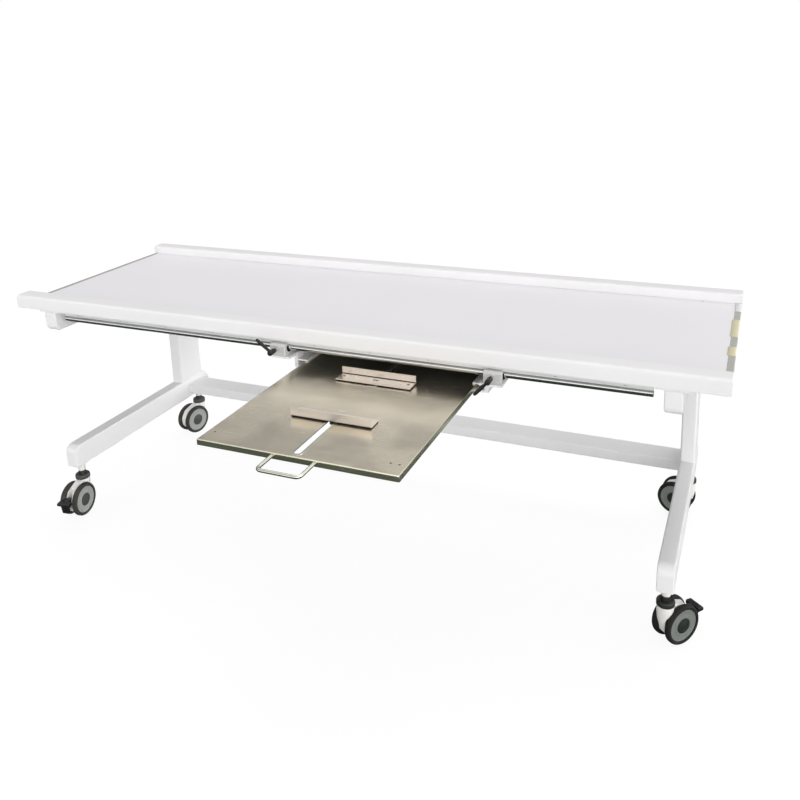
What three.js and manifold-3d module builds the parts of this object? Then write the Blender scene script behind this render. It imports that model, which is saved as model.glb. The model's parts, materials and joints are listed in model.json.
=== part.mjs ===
// Mobile radiography table with a cassette tray that runs under the top.
// Millimetres, +Z up, +X along the table, -Y is the side the tray is drawn out of.
import * as THREE from "three";
import { mergeVertices } from "three/addons/utils/BufferGeometryUtils.js";
import Module from "manifold-3d";

const wasm = await Module();
wasm.setup();

// Space kept between two pieces that touch.
const GAP = 0.3;

// Table top.
const TOP_LENGTH = 2000;
const TOP_WIDTH = 674;
const TOP_HEIGHT = 705;
const RAIL_WIDTH = 52;
const RAIL_DEPTH = 38.6;
const LIP_HEIGHT = 26;
const PANEL_THICK = 8;
const PANEL_BITE = 10;
const PANEL_TONGUE = 5.5;
const LEDGE_REACH = 15;
const END_STRIP = 16;
const RAIL_WALL = 3.5;

// Leg frames.
const LEG_X = 884;
const TUBE_WIDE = 40;
const TUBE_WALL = 4;
const TUBE_ROUND = 4;
const COLUMN_FRONT = 197;
const COLUMN_BACK = 314;
const ARM_REACH = 332;
const ARM_BOTTOM = 603;
const PLATE_THICK = 5;
const PLATE_WIDE = 80;
const FOOT_FRONT = -324;
const FOOT_BACK = 352;
const FOOT_TOP = 225;
const FOOT_BOTTOM = 155;
const HEEL_ROUND = 42;
const TOE_ROUND = 26;
const STRETCHER = { front: 234, back: 312, bottom: 172, top: 206, wall: 2.5 };

// Round guide shafts hung under the rails, and the bearing blocks on them.
const GUIDE_Y = 311;
const GUIDE_HALF = 840;
const SHAFT_R = 8;
const SHAFT_DROP = 25;
const SUPPORT_BASE = 40;
const BLOCK_LONG = 45;
const BLOCK_WIDE = 45;
const BLOCK_ABOVE = 13;
const BLOCK_BELOW = 20;
const BLOCK_BORE = 8.6;
const BLOCK_SLOT = 13;

// Carriage and tray, as they stand in the photograph.
const CARRIAGE_X = 184;
const BLOCK_X = 291.5;
const TRAY_DRAWN = 466;
const TRAY_WIDE = 474;
const TRAY_LONG = 582;
const TRAY_TOP = 597;
const TRAY_EDGE = 13;
const SHEET = 1.5;
const TRAY_BEND = 2.2;
const SLOT_WIDE = 16;
const SLOT_NEAR = 89;
const SLOT_FAR = 277;
const SIDE_WEB = { inner: 258, outer: 268, front: -290, back: 318 };
const SIDE_LIP = { inner: 222, thick: 5.5, back: 297 };
const SIDE_KEEPER = { inner: 228, thick: 3.4 };
const PAN_THICK = 2;
const SIDE_PLATE_THICK = 6;
const SIDE_PLATE_REACH = 333;

// Cassette clamps, their racks and the pinion that ties them together.
const CLAMP_OPEN = 126;
const CLAMP_HALF = 100;
const CLAMP_LIFT = 3;
const CLAMP_RISE = 20;
const CLAMP_FLANGE = 38;
const CLAMP_SHEET = 2;
const SLIDER = { front: 6, back: 22, half: 6 };
const MODULE = 2;
const TEETH = 16;
const BACKLASH = 0.4;
const RACK_THICK = 6.4;
const RACK_BAR = 9.5;
const RACK_FAR = 160;
const STUD_R = 3.93;

// Tray handle and clamp levers.
const HANDLE = { half: 49.5, reach: 59.5, rod: 4, bend: 13 };
const LEVER_ARM = 53;
const LEVER_ANGLES = { left: 143.5, right: 227 };

// Twin-wheel casters: which way each one trails, in degrees from +X.
const WHEEL_R = 50;
const WHEEL_TRAIL = 34;
const WHEEL_MID = 21;
const TYRE_HALF = 8.5;
const HUB_R = 39.6;
const HOUSING_HALF = 12;
const AXLE_R = 4;
const SPIGOT_R = 5;
const PEDAL_PIVOT = { x: 70, z: 63 };
const CASTERS = {
  front_left: { x: -LEG_X, y: -289, yaw: -83, pedal: true },
  front_right: { x: LEG_X, y: -289, yaw: 51, pedal: true },
  back_left: { x: -LEG_X, y: 308, yaw: 256 },
  back_right: { x: LEG_X, y: 308, yaw: 168 },
};

// Heights and depths that follow from the sizes above.
const RAIL_BOTTOM = TOP_HEIGHT - RAIL_DEPTH;
const PANEL_TOP = TOP_HEIGHT - LIP_HEIGHT;
const PANEL_BOTTOM = PANEL_TOP - PANEL_THICK;
const TONGUE_TOP = PANEL_BOTTOM + PANEL_TONGUE;
const RAIL_INNER = TOP_WIDTH / 2 - RAIL_WIDTH;
const ARM_TOP = RAIL_BOTTOM - PLATE_THICK - 2 * GAP;
const SHAFT_Z = RAIL_BOTTOM - SHAFT_DROP;
const BLOCK_BOTTOM = SHAFT_Z - BLOCK_BELOW;
const TRAY_Y = -TRAY_DRAWN;
const TRAY_BOTTOM = TRAY_TOP - TRAY_EDGE;
const SHEET_BOTTOM = TRAY_TOP - SHEET;
const CLAMP_Z = TRAY_TOP + CLAMP_LIFT;
const RACK_TOP = SHEET_BOTTOM - GAP;
const PITCH_R = (MODULE * TEETH) / 2;

const paint = (color, roughness, metalness) => ({ color, roughness, metalness });
const WHITE_PAINT = paint(0xe9e8ea, 0.42, 0.0);
const PANEL_GREY = paint(0xe1dfe4, 0.5, 0.0);
const ALUMINIUM = paint(0xc4c6c8, 0.4, 0.9);
const CHROME = paint(0xd9dcde, 0.12, 1.0);
const STAINLESS = paint(0xb5ada2, 0.3, 1.0);
const STEEL = paint(0x9a9c9c, 0.35, 0.9);
const BLACK_PLASTIC = paint(0x1d1f1e, 0.45, 0.0);
const HOUSING_WHITE = paint(0xdedcd6, 0.5, 0.0);
const TYRE_BLACK = paint(0x2b2d2b, 0.75, 0.0);
const HUB_GREY = paint(0x8d9190, 0.55, 0.0);

// A closed solid made from a three.js geometry.
function solid(geometry) {
  const bare = geometry.clone();
  bare.deleteAttribute("normal");
  bare.deleteAttribute("uv");
  const welded = mergeVertices(bare, 1e-4);
  const vertProperties = new Float32Array(welded.attributes.position.array);
  const triVerts = new Uint32Array(welded.index.array);
  return new wasm.Manifold(new wasm.Mesh({ numProp: 3, vertProperties, triVerts }));
}

// The geometry of a solid.
function shapeOf(body) {
  const mesh = body.getMesh();
  const geometry = new THREE.BufferGeometry();
  geometry.setAttribute("position", new THREE.Float32BufferAttribute(mesh.vertProperties, 3));
  geometry.setIndex(new THREE.Uint32BufferAttribute(mesh.triVerts, 1));
  geometry.computeVertexNormals();
  return geometry;
}

// One solid joined to others, or with others cut from it.
function joined(geometry, ...others) {
  return shapeOf(others.reduce((body, other) => body.add(solid(other)), solid(geometry)));
}

function carved(geometry, ...cutters) {
  return shapeOf(cutters.reduce((body, cutter) => body.subtract(solid(cutter)), solid(geometry)));
}

// A box between two corners.
function block(low, high) {
  const size = high.map((value, axis) => value - low[axis]);
  const box = new THREE.BoxGeometry(...size);
  return box.translate(...low.map((value, axis) => value + size[axis] / 2));
}

// A flat outline whose corners are [across, up, radius].
function outline(corners, steps = 4) {
  const points = [];
  corners.forEach(([x, y, radius = 0], i) => {
    const corner = new THREE.Vector2(x, y);
    if (radius === 0) {
      points.push(corner);
      return;
    }
    const [px, py] = corners.at(i - 1);
    const [nx, ny] = corners.at((i + 1) % corners.length);
    const back = new THREE.Vector2(px, py).sub(corner).normalize();
    const ahead = new THREE.Vector2(nx, ny).sub(corner).normalize();
    const half = Math.acos(back.dot(ahead)) / 2;
    const middle = back.clone().add(ahead).normalize().multiplyScalar(radius / Math.sin(half)).add(corner);
    const start = back.clone().multiplyScalar(radius / Math.tan(half)).add(corner).sub(middle);
    const end = ahead.clone().multiplyScalar(radius / Math.tan(half)).add(corner).sub(middle);
    const sweep = Math.atan2(start.cross(end), start.dot(end));
    for (let k = 0; k <= steps; k += 1) {
      const turned = start.clone().rotateAround(new THREE.Vector2(), (sweep * k) / steps);
      points.push(turned.add(middle));
    }
  });
  return new THREE.Shape(points);
}

function rectangle(left, right, bottom, top, radius) {
  const corners = [[left, bottom], [right, bottom], [right, top], [left, top]];
  return outline(corners.map((corner) => [...corner, radius]), 3);
}

// An outline pushed out over a length, with its long edges rounded if round is given.
function pushed(shape, length, round = 0, facets = 2) {
  return new THREE.ExtrudeGeometry(shape, {
    depth: length - 2 * round,
    bevelEnabled: round > 0,
    bevelThickness: round,
    bevelSize: round,
    bevelOffset: -round,
    bevelSegments: facets,
  }).translate(0, 0, round);
}

// Outlines drawn in Y and Z, in X and Z, and in X and Y, pushed out along the third axis.
const ALONG_X = new THREE.Matrix4().set(0, 0, 1, 0, 1, 0, 0, 0, 0, 1, 0, 0, 0, 0, 0, 1);

function alongX(shape, from, to, round, facets) {
  return pushed(shape, to - from, round, facets).applyMatrix4(ALONG_X).translate(from, 0, 0);
}

function alongY(shape, from, to, round, facets) {
  return pushed(shape, to - from, round, facets).rotateX(Math.PI / 2).translate(0, to, 0);
}

function alongZ(shape, from, to, round, facets) {
  return pushed(shape, to - from, round, facets).translate(0, 0, from);
}

// A turned piece: points are [radius, height], from the bottom up, about the Y axis.
function turned(points, segments = 24) {
  return new THREE.LatheGeometry(points.map(([r, h]) => new THREE.Vector2(r, h)), segments);
}

// A plain round bar about the X, Y or Z axis through a point.
function bar(radius, from, to, axis, segments = 24) {
  const rod = turned([[0, from], [radius, from], [radius, to], [0, to]], segments);
  const turns = { x: () => rod.rotateZ(-Math.PI / 2), y: () => rod, z: () => rod.rotateX(Math.PI / 2) };
  return turns[axis]();
}

const table = new THREE.Group();
table.name = "radiography_table";

function place(name, geometry, finish, parent = table) {
  const mesh = new THREE.Mesh(geometry, new THREE.MeshStandardMaterial(finish));
  mesh.name = name;
  parent.add(mesh);
}

// The raised side rails: a box with a lip above the panel and a ledge under it.
function railShape(side) {
  const outer = TOP_WIDTH / 2;
  const groove = RAIL_INNER + PANEL_BITE;
  const ledge = RAIL_INNER - LEDGE_REACH;
  const corners = [
    [outer, RAIL_BOTTOM, 2],
    [outer, TOP_HEIGHT, 8],
    [RAIL_INNER, TOP_HEIGHT, 5],
    [RAIL_INNER, TONGUE_TOP + GAP],
    [groove, TONGUE_TOP + GAP],
    [groove, PANEL_BOTTOM - GAP],
    [ledge, PANEL_BOTTOM - GAP],
    [ledge, RAIL_BOTTOM],
  ];
  return outline(corners.map(([across, up, radius]) => [side * across, up, radius]));
}

function rail(side) {
  const body = alongX(railShape(side), -TOP_LENGTH / 2, TOP_LENGTH / 2);
  const near = side * (RAIL_INNER + PANEL_BITE + RAIL_WALL);
  const far = side * (TOP_WIDTH / 2 - RAIL_WALL);
  const end = TOP_LENGTH / 2 - RAIL_WALL;
  const low = [-end, Math.min(near, far), RAIL_BOTTOM + RAIL_WALL];
  const high = [end, Math.max(near, far), TOP_HEIGHT - RAIL_WALL];
  const bolt = bar(4, RAIL_BOTTOM - 1, RAIL_BOTTOM + RAIL_WALL + 1, "z").translate(0, side * GUIDE_Y, 0);
  return carved(body, block(low, high), bolt);
}

place("rail_front", rail(-1), WHITE_PAINT);
place("rail_back", rail(1), WHITE_PAINT);

// The board lies between the rails, and a tongue along each side sits in the rail's groove.
const panelX = TOP_LENGTH / 2 - END_STRIP - GAP;
const panelY = RAIL_INNER - GAP;
const tongueY = RAIL_INNER + PANEL_BITE - GAP;
const board = joined(
  block([-panelX, -panelY, PANEL_BOTTOM], [panelX, panelY, PANEL_TOP]),
  block([-panelX, -tongueY, PANEL_BOTTOM], [panelX, tongueY, TONGUE_TOP]),
);
place("panel", board, PANEL_GREY);

for (const [name, side] of [["left", -1], ["right", 1]]) {
  const inner = side * (TOP_LENGTH / 2 - END_STRIP);
  const outer = (side * TOP_LENGTH) / 2;
  const strip = outline([
    [inner, PANEL_BOTTOM],
    [outer, PANEL_BOTTOM, 1],
    [outer, PANEL_TOP, 2],
    [inner, PANEL_TOP],
  ]);
  place(`end_strip_${name}`, alongY(strip, -RAIL_INNER + GAP, RAIL_INNER - GAP), ALUMINIUM);
}

// Leg frames: arm under the top, column near the back, foot along the floor.
for (const [name, side] of [["left", -1], ["right", 1]]) {
  const x = side * LEG_X;
  const half = TUBE_WIDE / 2;
  const hollow = half - TUBE_WALL;

  const plateTop = RAIL_BOTTOM - GAP;
  const plate = rectangle(x - PLATE_WIDE / 2, x + PLATE_WIDE / 2, -ARM_REACH, ARM_REACH, 6);
  place(`mount_plate_${name}`, alongZ(plate, plateTop - PLATE_THICK, plateTop), WHITE_PAINT);

  const armSide = outline([
    [-ARM_REACH, ARM_BOTTOM, 20],
    [ARM_REACH, ARM_BOTTOM, 20],
    [ARM_REACH, ARM_TOP, 5],
    [-ARM_REACH, ARM_TOP, 5],
  ]);
  const armReach = ARM_REACH - TUBE_WALL - 8;
  const arm = carved(
    alongX(armSide, x - half, x + half, TUBE_ROUND),
    block([x - hollow, -armReach, ARM_BOTTOM + TUBE_WALL], [x + hollow, armReach, ARM_TOP - TUBE_WALL]),
    bar(9, ARM_TOP - TUBE_WALL - 1, ARM_TOP + 1, "z").translate(x, 0, 0),
  );
  place(`arm_${name}`, arm, WHITE_PAINT);

  const column = rectangle(x - half, x + half, COLUMN_FRONT, COLUMN_BACK, 6);
  column.holes.push(rectangle(x - hollow, x + hollow, COLUMN_FRONT + TUBE_WALL, COLUMN_BACK - TUBE_WALL, 3));
  place(`column_${name}`, alongZ(column, FOOT_TOP + GAP, ARM_BOTTOM - GAP), WHITE_PAINT);

  const footSide = outline([
    [FOOT_FRONT, FOOT_BOTTOM, 5],
    [FOOT_BACK, FOOT_BOTTOM, 6],
    [FOOT_BACK, FOOT_TOP, HEEL_ROUND],
    [FOOT_FRONT, FOOT_TOP, TOE_ROUND],
  ], 6);
  const low = FOOT_BOTTOM + TUBE_WALL;
  const foot = carved(
    alongX(footSide, x - half, x + half, TUBE_ROUND),
    block(
      [x - hollow, FOOT_FRONT + TOE_ROUND, low],
      [x + hollow, FOOT_BACK - HEEL_ROUND, FOOT_TOP - TUBE_WALL],
    ),
    block([x - 12, COLUMN_FRONT + 20, low + 1], [x + 12, COLUMN_BACK - 20, FOOT_TOP + 1]),
  );
  place(`foot_${name}`, foot, WHITE_PAINT);
}

const beam = rectangle(STRETCHER.front, STRETCHER.back, STRETCHER.bottom, STRETCHER.top, 5);
const inset = STRETCHER.wall;
beam.holes.push(rectangle(
  STRETCHER.front + inset,
  STRETCHER.back - inset,
  STRETCHER.bottom + inset,
  STRETCHER.top - inset,
  2.5,
));
const beamHalf = LEG_X - TUBE_WIDE / 2 - GAP;
place("stretcher", alongX(beam, -beamHalf, beamHalf), WHITE_PAINT);

// Guides: a flanged support holds the shaft all along, so the bearing blocks are open at the top.
for (const [name, side] of [["front", -1], ["back", 1]]) {
  const y = side * GUIDE_Y;
  const top = RAIL_BOTTOM - GAP;
  const neck = SHAFT_Z + SHAFT_R + GAP;
  const support = outline([
    [y - SUPPORT_BASE / 2, top],
    [y - SUPPORT_BASE / 2, top - 5, 1],
    [y - 8, top - 5, 2],
    [y - 4.5, neck + 4],
    [y - 4.5, neck],
    [y + 4.5, neck],
    [y + 4.5, neck + 4],
    [y + 8, top - 5, 2],
    [y + SUPPORT_BASE / 2, top - 5, 1],
    [y + SUPPORT_BASE / 2, top],
  ], 2);
  place(`guide_support_${name}`, alongX(support, -GUIDE_HALF, GUIDE_HALF), ALUMINIUM);
  const shaft = turned([
    [0, -GUIDE_HALF],
    [SHAFT_R - 1, -GUIDE_HALF],
    [SHAFT_R, -GUIDE_HALF + 1],
    [SHAFT_R, GUIDE_HALF - 1],
    [SHAFT_R - 1, GUIDE_HALF],
    [0, GUIDE_HALF],
  ], 20).rotateZ(-Math.PI / 2);
  place(`guide_shaft_${name}`, shaft.translate(0, y, SHAFT_Z), CHROME);
}

// An open linear bearing block, with the slot for the guide's neck at the top.
function bearingShape(y) {
  const points = [];
  const gapAngle = Math.asin(BLOCK_SLOT / 2 / BLOCK_BORE);
  const steps = 12;
  for (let k = 0; k <= steps; k += 1) {
    const angle = Math.PI / 2 - gapAngle - (k / steps) * 2 * (Math.PI - gapAngle);
    points.push([y + BLOCK_BORE * Math.cos(angle), SHAFT_Z + BLOCK_BORE * Math.sin(angle)]);
  }
  const half = BLOCK_WIDE / 2;
  const top = SHAFT_Z + BLOCK_ABOVE;
  return outline([
    ...points,
    [y - BLOCK_SLOT / 2, top],
    [y - half + 5, top],
    [y - half, top - 6],
    [y - half, BLOCK_BOTTOM, 2],
    [y + half, BLOCK_BOTTOM, 2],
    [y + half, top - 6],
    [y + half - 5, top],
    [y + BLOCK_SLOT / 2, top],
  ], 3);
}

const carriage = new THREE.Group();
carriage.position.set(CARRIAGE_X, 0, 0);
table.add(carriage);

for (const [name, side] of [["left", -1], ["right", 1]]) {
  const from = side * BLOCK_X - BLOCK_LONG / 2;
  const to = side * BLOCK_X + BLOCK_LONG / 2;
  const screwHole = bar(4.3, -GUIDE_Y - BLOCK_WIDE, -GUIDE_Y - SHAFT_R + 2, "y");
  const frontBlock = alongX(bearingShape(-GUIDE_Y), from, to, 1, 1);
  const drilled = carved(frontBlock, screwHole.translate(side * BLOCK_X, 0, SHAFT_Z));
  place(`block_front_${name}`, drilled, ALUMINIUM, carriage);
  place(`block_back_${name}`, alongX(bearingShape(GUIDE_Y), from, to, 1, 1), ALUMINIUM, carriage);

  // The side hanger: a plate under the blocks, a web, a lip under the tray's edge and a keeper over it.
  const plateTop = BLOCK_BOTTOM - GAP;
  const plateOuter = BLOCK_X + BLOCK_LONG / 2;
  const lipTop = TRAY_BOTTOM - 0.5;
  const keeperLow = TRAY_TOP + 0.5;
  const span = (a, b) => [Math.min(side * a, side * b), Math.max(side * a, side * b)];
  const piece = (across, depth, height) => {
    const [left, right] = span(...across);
    return block([left, depth[0], height[0]], [right, depth[1], height[1]]);
  };
  const hanger = joined(
    piece(
      [SIDE_WEB.inner, plateOuter],
      [-SIDE_PLATE_REACH, SIDE_PLATE_REACH],
      [plateTop - SIDE_PLATE_THICK, plateTop],
    ),
    piece(
      [SIDE_WEB.inner, SIDE_WEB.outer],
      [SIDE_WEB.front, SIDE_WEB.back],
      [lipTop - SIDE_LIP.thick, plateTop - 1],
    ),
    piece(
      [SIDE_LIP.inner, SIDE_WEB.outer],
      [SIDE_WEB.front, SIDE_LIP.back],
      [lipTop - SIDE_LIP.thick, lipTop],
    ),
    piece(
      [SIDE_KEEPER.inner, SIDE_WEB.outer],
      [SIDE_WEB.front, SIDE_LIP.back],
      [keeperLow, keeperLow + SIDE_KEEPER.thick],
    ),
  );
  place(`carriage_side_${name}`, hanger, WHITE_PAINT, carriage);

  // Clamp lever: its screw runs through the front block and bears on the shaft.
  const hubFront = -GUIDE_Y - BLOCK_WIDE / 2 - 39;
  const grip = turned([
    [0, hubFront],
    [5.4, hubFront],
    [7, hubFront + 2],
    [7, hubFront + 24],
    [5.6, hubFront + 27],
    [SHAFT_R / 2, hubFront + 27],
    [SHAFT_R / 2, -GUIDE_Y - SHAFT_R - GAP],
    [0, -GUIDE_Y - SHAFT_R - GAP],
  ], 16);
  const arm = turned([[0, 0], [4.6, 0], [4, 12], [4.4, 30], [4.7, 45], [3.6, 51], [0, LEVER_ARM]], 12);
  const angle = THREE.MathUtils.degToRad(LEVER_ANGLES[name] - 90);
  arm.rotateX(Math.PI / 2).rotateY(-angle).translate(0, hubFront + 9, 0);
  place(`lever_${name}`, joined(grip, arm).translate(side * BLOCK_X, 0, SHAFT_Z), BLACK_PLASTIC, carriage);
}

// The tie behind the tray has a thin pan that runs forward between the hangers' lips.
const tieHalf = SIDE_WEB.inner - GAP;
const panHalf = SIDE_LIP.inner - GAP;
const panLow = TRAY_BOTTOM - 0.5 - SIDE_LIP.thick;
const tieShape = rectangle(SIDE_LIP.back + 3, SIDE_WEB.back - 2, panLow, TRAY_TOP + 15, 2);
const pan = block([-panHalf, SIDE_WEB.front, panLow], [panHalf, SIDE_LIP.back + 6, panLow + PAN_THICK]);
place("carriage_tie", joined(alongX(tieShape, -tieHalf, tieHalf), pan), WHITE_PAINT, carriage);

// The tray: a folded sheet with two clamp slots, and the stud the pinion turns on.
const tray = new THREE.Group();
tray.position.set(0, TRAY_Y, 0);
carriage.add(tray);

function trayPan() {
  const halfX = TRAY_WIDE / 2;
  const halfY = TRAY_LONG / 2;
  const plan = rectangle(-halfX, halfX, -halfY, halfY, TRAY_BEND + 0.8);
  const pan = alongZ(plan, TRAY_BOTTOM - 2 * TRAY_BEND, TRAY_TOP, TRAY_BEND);
  const below = block([-halfX - 1, -halfY - 1, TRAY_BOTTOM - 9], [halfX + 1, halfY + 1, TRAY_BOTTOM]);
  const under = block(
    [-halfX + SHEET, -halfY + SHEET, TRAY_BOTTOM - 1],
    [halfX - SHEET, halfY - SHEET, SHEET_BOTTOM],
  );
  const cutters = [below, under];
  for (const side of [-1, 1]) {
    const near = Math.min(side * SLOT_NEAR, side * SLOT_FAR);
    const far = Math.max(side * SLOT_NEAR, side * SLOT_FAR);
    const slot = rectangle(-SLOT_WIDE / 2, SLOT_WIDE / 2, near, far, SLOT_WIDE / 2 - 0.1);
    cutters.push(alongZ(slot, SHEET_BOTTOM - 1, TRAY_TOP + 1));
    for (const x of [-halfX + 18, halfX - 18, halfX - 37]) {
      cutters.push(bar(2.5, SHEET_BOTTOM - 1, TRAY_TOP + 1, "z", 12).translate(x, side * (halfY - 43), 0));
    }
  }
  const stud = turned([
    [0, TRAY_BOTTOM + 1],
    [6, TRAY_BOTTOM + 1],
    [6, TRAY_BOTTOM + 2.5],
    [STUD_R, TRAY_BOTTOM + 2.5],
    [STUD_R, SHEET_BOTTOM + 0.5],
    [0, SHEET_BOTTOM + 0.5],
  ]).rotateX(Math.PI / 2);
  return joined(carved(pan, ...cutters), stud);
}

place("tray", trayPan(), STAINLESS, tray);

// The handle: one bent rod whose ends meet the tray's front edge.
function bentRod() {
  const y = -TRAY_LONG / 2 - GAP;
  const front = -TRAY_LONG / 2 - HANDLE.reach;
  const z = (TRAY_TOP + TRAY_BOTTOM) / 2;
  const at = (x, depth) => new THREE.Vector3(x, depth, z);
  const path = new THREE.CurvePath();
  const { half, bend } = HANDLE;
  path.add(new THREE.LineCurve3(at(-half, y), at(-half, front + bend)));
  const corner = (from, through, to) => new THREE.QuadraticBezierCurve3(from, through, to);
  path.add(corner(at(-half, front + bend), at(-half, front), at(-half + bend, front)));
  path.add(new THREE.LineCurve3(at(-half + bend, front), at(half - bend, front)));
  path.add(corner(at(half - bend, front), at(half, front), at(half, front + bend)));
  path.add(new THREE.LineCurve3(at(half, front + bend), at(half, y)));
  const section = new THREE.Shape().absarc(0, 0, HANDLE.rod, 0, 2 * Math.PI);
  return new THREE.ExtrudeGeometry(section, { steps: 28, extrudePath: path, curveSegments: 5 });
}

place("tray_handle", bentRod(), STAINLESS, tray);

// Pinion teeth with involute flanks, so that the racks keep clear of them all along.
function pinionShape() {
  const pressure = THREE.MathUtils.degToRad(20);
  const base = PITCH_R * Math.cos(pressure);
  const involute = (angle) => Math.tan(angle) - angle;
  const root = PITCH_R - 1.25 * MODULE;
  const tip = PITCH_R + MODULE;
  const halfAt = (radius) => {
    const angle = Math.acos(Math.min(1, base / radius));
    return Math.PI / (2 * TEETH) - BACKLASH / (2 * PITCH_R) + involute(pressure) - involute(angle);
  };
  const radii = [root, base + 0.4, tip];
  const points = [];
  for (let tooth = 0; tooth < TEETH; tooth += 1) {
    const middle = ((tooth + 0.5) * 2 * Math.PI) / TEETH;
    const flank = radii.map((radius) => [radius, middle - halfAt(Math.max(radius, base))]);
    const other = radii.map((radius) => [radius, middle + halfAt(Math.max(radius, base))]).reverse();
    points.push(...flank, ...other);
  }
  const flat = ([radius, angle]) => new THREE.Vector2(radius * Math.cos(angle), radius * Math.sin(angle));
  return new THREE.Shape(points.map(flat));
}

const gear = alongZ(pinionShape(), RACK_TOP - RACK_THICK + GAP, RACK_TOP - GAP);
const gearBore = bar(STUD_R + 0.1, TRAY_BOTTOM, TRAY_TOP, "z");
place("pinion", carved(gear, gearBore), STEEL, tray);

// A rack: toothed bar beside the pinion, with a slider that stands up through the slot.
function rackShape() {
  const pitch = Math.PI * MODULE;
  const slope = MODULE * Math.tan(THREE.MathUtils.degToRad(20));
  const half = pitch / 4 - BACKLASH / 2;
  const root = PITCH_R + 1.25 * MODULE;
  const points = [];
  for (let tooth = -6; tooth <= 22; tooth += 1) {
    const y = tooth * pitch;
    points.push([root, y - half - 1.25 * slope], [PITCH_R - MODULE, y - half + slope]);
    points.push([PITCH_R - MODULE, y + half - slope], [root, y + half + 1.25 * slope]);
  }
  const far = root + RACK_BAR;
  const end = -CLAMP_OPEN + SLIDER.front;
  points.push([root, RACK_FAR], [far, RACK_FAR], [far, end], [root, end]);
  return outline(points);
}

function rack() {
  const low = RACK_TOP - RACK_THICK;
  const far = PITCH_R + 1.25 * MODULE + RACK_BAR;
  const toothed = alongZ(rackShape(), low, RACK_TOP);
  const { front, back, half } = SLIDER;
  const arm = block([-half, -CLAMP_OPEN + front, low], [far, -CLAMP_OPEN + back, RACK_TOP]);
  const slider = block([-half, -CLAMP_OPEN + front, low], [half, -CLAMP_OPEN + back, CLAMP_Z - GAP]);
  return joined(toothed, arm, slider);
}

// A clamp: an angle with its flange under the cassette and its plate against the cassette's edge.
function clamp() {
  const plate = -CLAMP_OPEN;
  const angle = outline([
    [plate, CLAMP_Z + CLAMP_SHEET, 1],
    [plate, CLAMP_Z + CLAMP_RISE],
    [plate - CLAMP_SHEET, CLAMP_Z + CLAMP_RISE],
    [plate - CLAMP_SHEET, CLAMP_Z, 3],
    [plate + CLAMP_FLANGE, CLAMP_Z],
    [plate + CLAMP_FLANGE, CLAMP_Z + CLAMP_SHEET],
  ]);
  const holes = [-1, 1].map((side) => {
    const hole = bar(2.6, CLAMP_Z - 1, CLAMP_Z + CLAMP_SHEET + 1, "z", 12);
    return hole.translate(side * (CLAMP_HALF - 12), plate + 16, 0);
  });
  return carved(alongX(angle, -CLAMP_HALF, CLAMP_HALF), ...holes);
}

for (const [name, turn] of [["front", 0], ["back", Math.PI]]) {
  place(`rack_${name}`, rack().rotateZ(turn), STEEL, tray);
  place(`clamp_${name}`, clamp().rotateZ(turn), STAINLESS, tray);
}

// Casters, each drawn trailing along its own X and then turned.
// The housing's round neck, hollowed out on both sides for the wheels to run in.
function casterNeck() {
  const neck = turned([[0, 52], [14, 52], [18.5, 68], [20.5, 88], [20.5, 102], [19, 104], [0, 104]], 16);
  const wells = [-1, 1].map((side) => {
    const [from, to] = side < 0 ? [-30, -HOUSING_HALF] : [HOUSING_HALF, 30];
    return bar(WHEEL_R + 1.5, from, to, "y").translate(WHEEL_TRAIL, 0, WHEEL_R);
  });
  return carved(neck.rotateX(Math.PI / 2), ...wells);
}

function housing(hasPedal) {
  const side = outline([
    [-18, 104],
    [-17, 84, 10],
    [-10, 60, 12],
    [-6, 34, 14],
    [14, 12, 16],
    [54, 12, 20],
    [76, 36, 20],
    [77, 64, 16],
    [62, 87, 16],
    [40, 96, 20],
    [19, 104],
  ], 2);
  const shell = alongY(side, -HOUSING_HALF, HOUSING_HALF, 2, 1);
  const axle = bar(AXLE_R, -WHEEL_MID - 2.5, WHEEL_MID + 2.5, "y", 16).translate(WHEEL_TRAIL, 0, WHEEL_R);
  const spigot = bar(SPIGOT_R + 0.15, 78, 108, "z", 16);
  const cutters = hasPedal ? [spigot, block([50, -8.5, 40], [90, 8.5, 100])] : [spigot];
  return carved(joined(shell, axle, casterNeck()), ...cutters);
}

function hub(side) {
  const wheel = turned([
    [0, 8],
    [18.5, 8],
    [19.5, 6.4],
    [HUB_R, 5.4],
    [HUB_R, -6],
    [AXLE_R + 0.15, -6],
    [AXLE_R + 0.15, 3],
    [0, 3],
  ].reverse(), 20);
  return wheel.rotateZ(side < 0 ? Math.PI : 0).translate(WHEEL_TRAIL, side * WHEEL_MID, WHEEL_R);
}

function tyre(side) {
  const inner = HUB_R + GAP + 0.2;
  const ring = turned([
    [inner, -TYRE_HALF + 1],
    [WHEEL_R - 4, -TYRE_HALF],
    [WHEEL_R, -TYRE_HALF + 4.5],
    [WHEEL_R, TYRE_HALF - 4.5],
    [WHEEL_R - 4, TYRE_HALF],
    [inner, TYRE_HALF - 1],
    [inner, -TYRE_HALF + 1],
  ]);
  return ring.translate(WHEEL_TRAIL, side * WHEEL_MID, WHEEL_R);
}

// The swivel stem: spigot in the housing, dished bearing cap, nut and the collar under the foot.
function stem() {
  return turned([
    [0, 80],
    [SPIGOT_R, 80],
    [SPIGOT_R, 104.5],
    [20, 104.5],
    [21.8, 106],
    [21.8, 114.5],
    [20.4, 117.5],
    [18.4, 118.5],
    [16, 117],
    [10.6, 116.4],
    [10.6, 129.5],
    [11, 131],
    [11, 146],
    [12, 147],
    [12, FOOT_BOTTOM - GAP],
    [0, FOOT_BOTTOM - GAP],
  ], 14).rotateX(Math.PI / 2);
}

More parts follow.
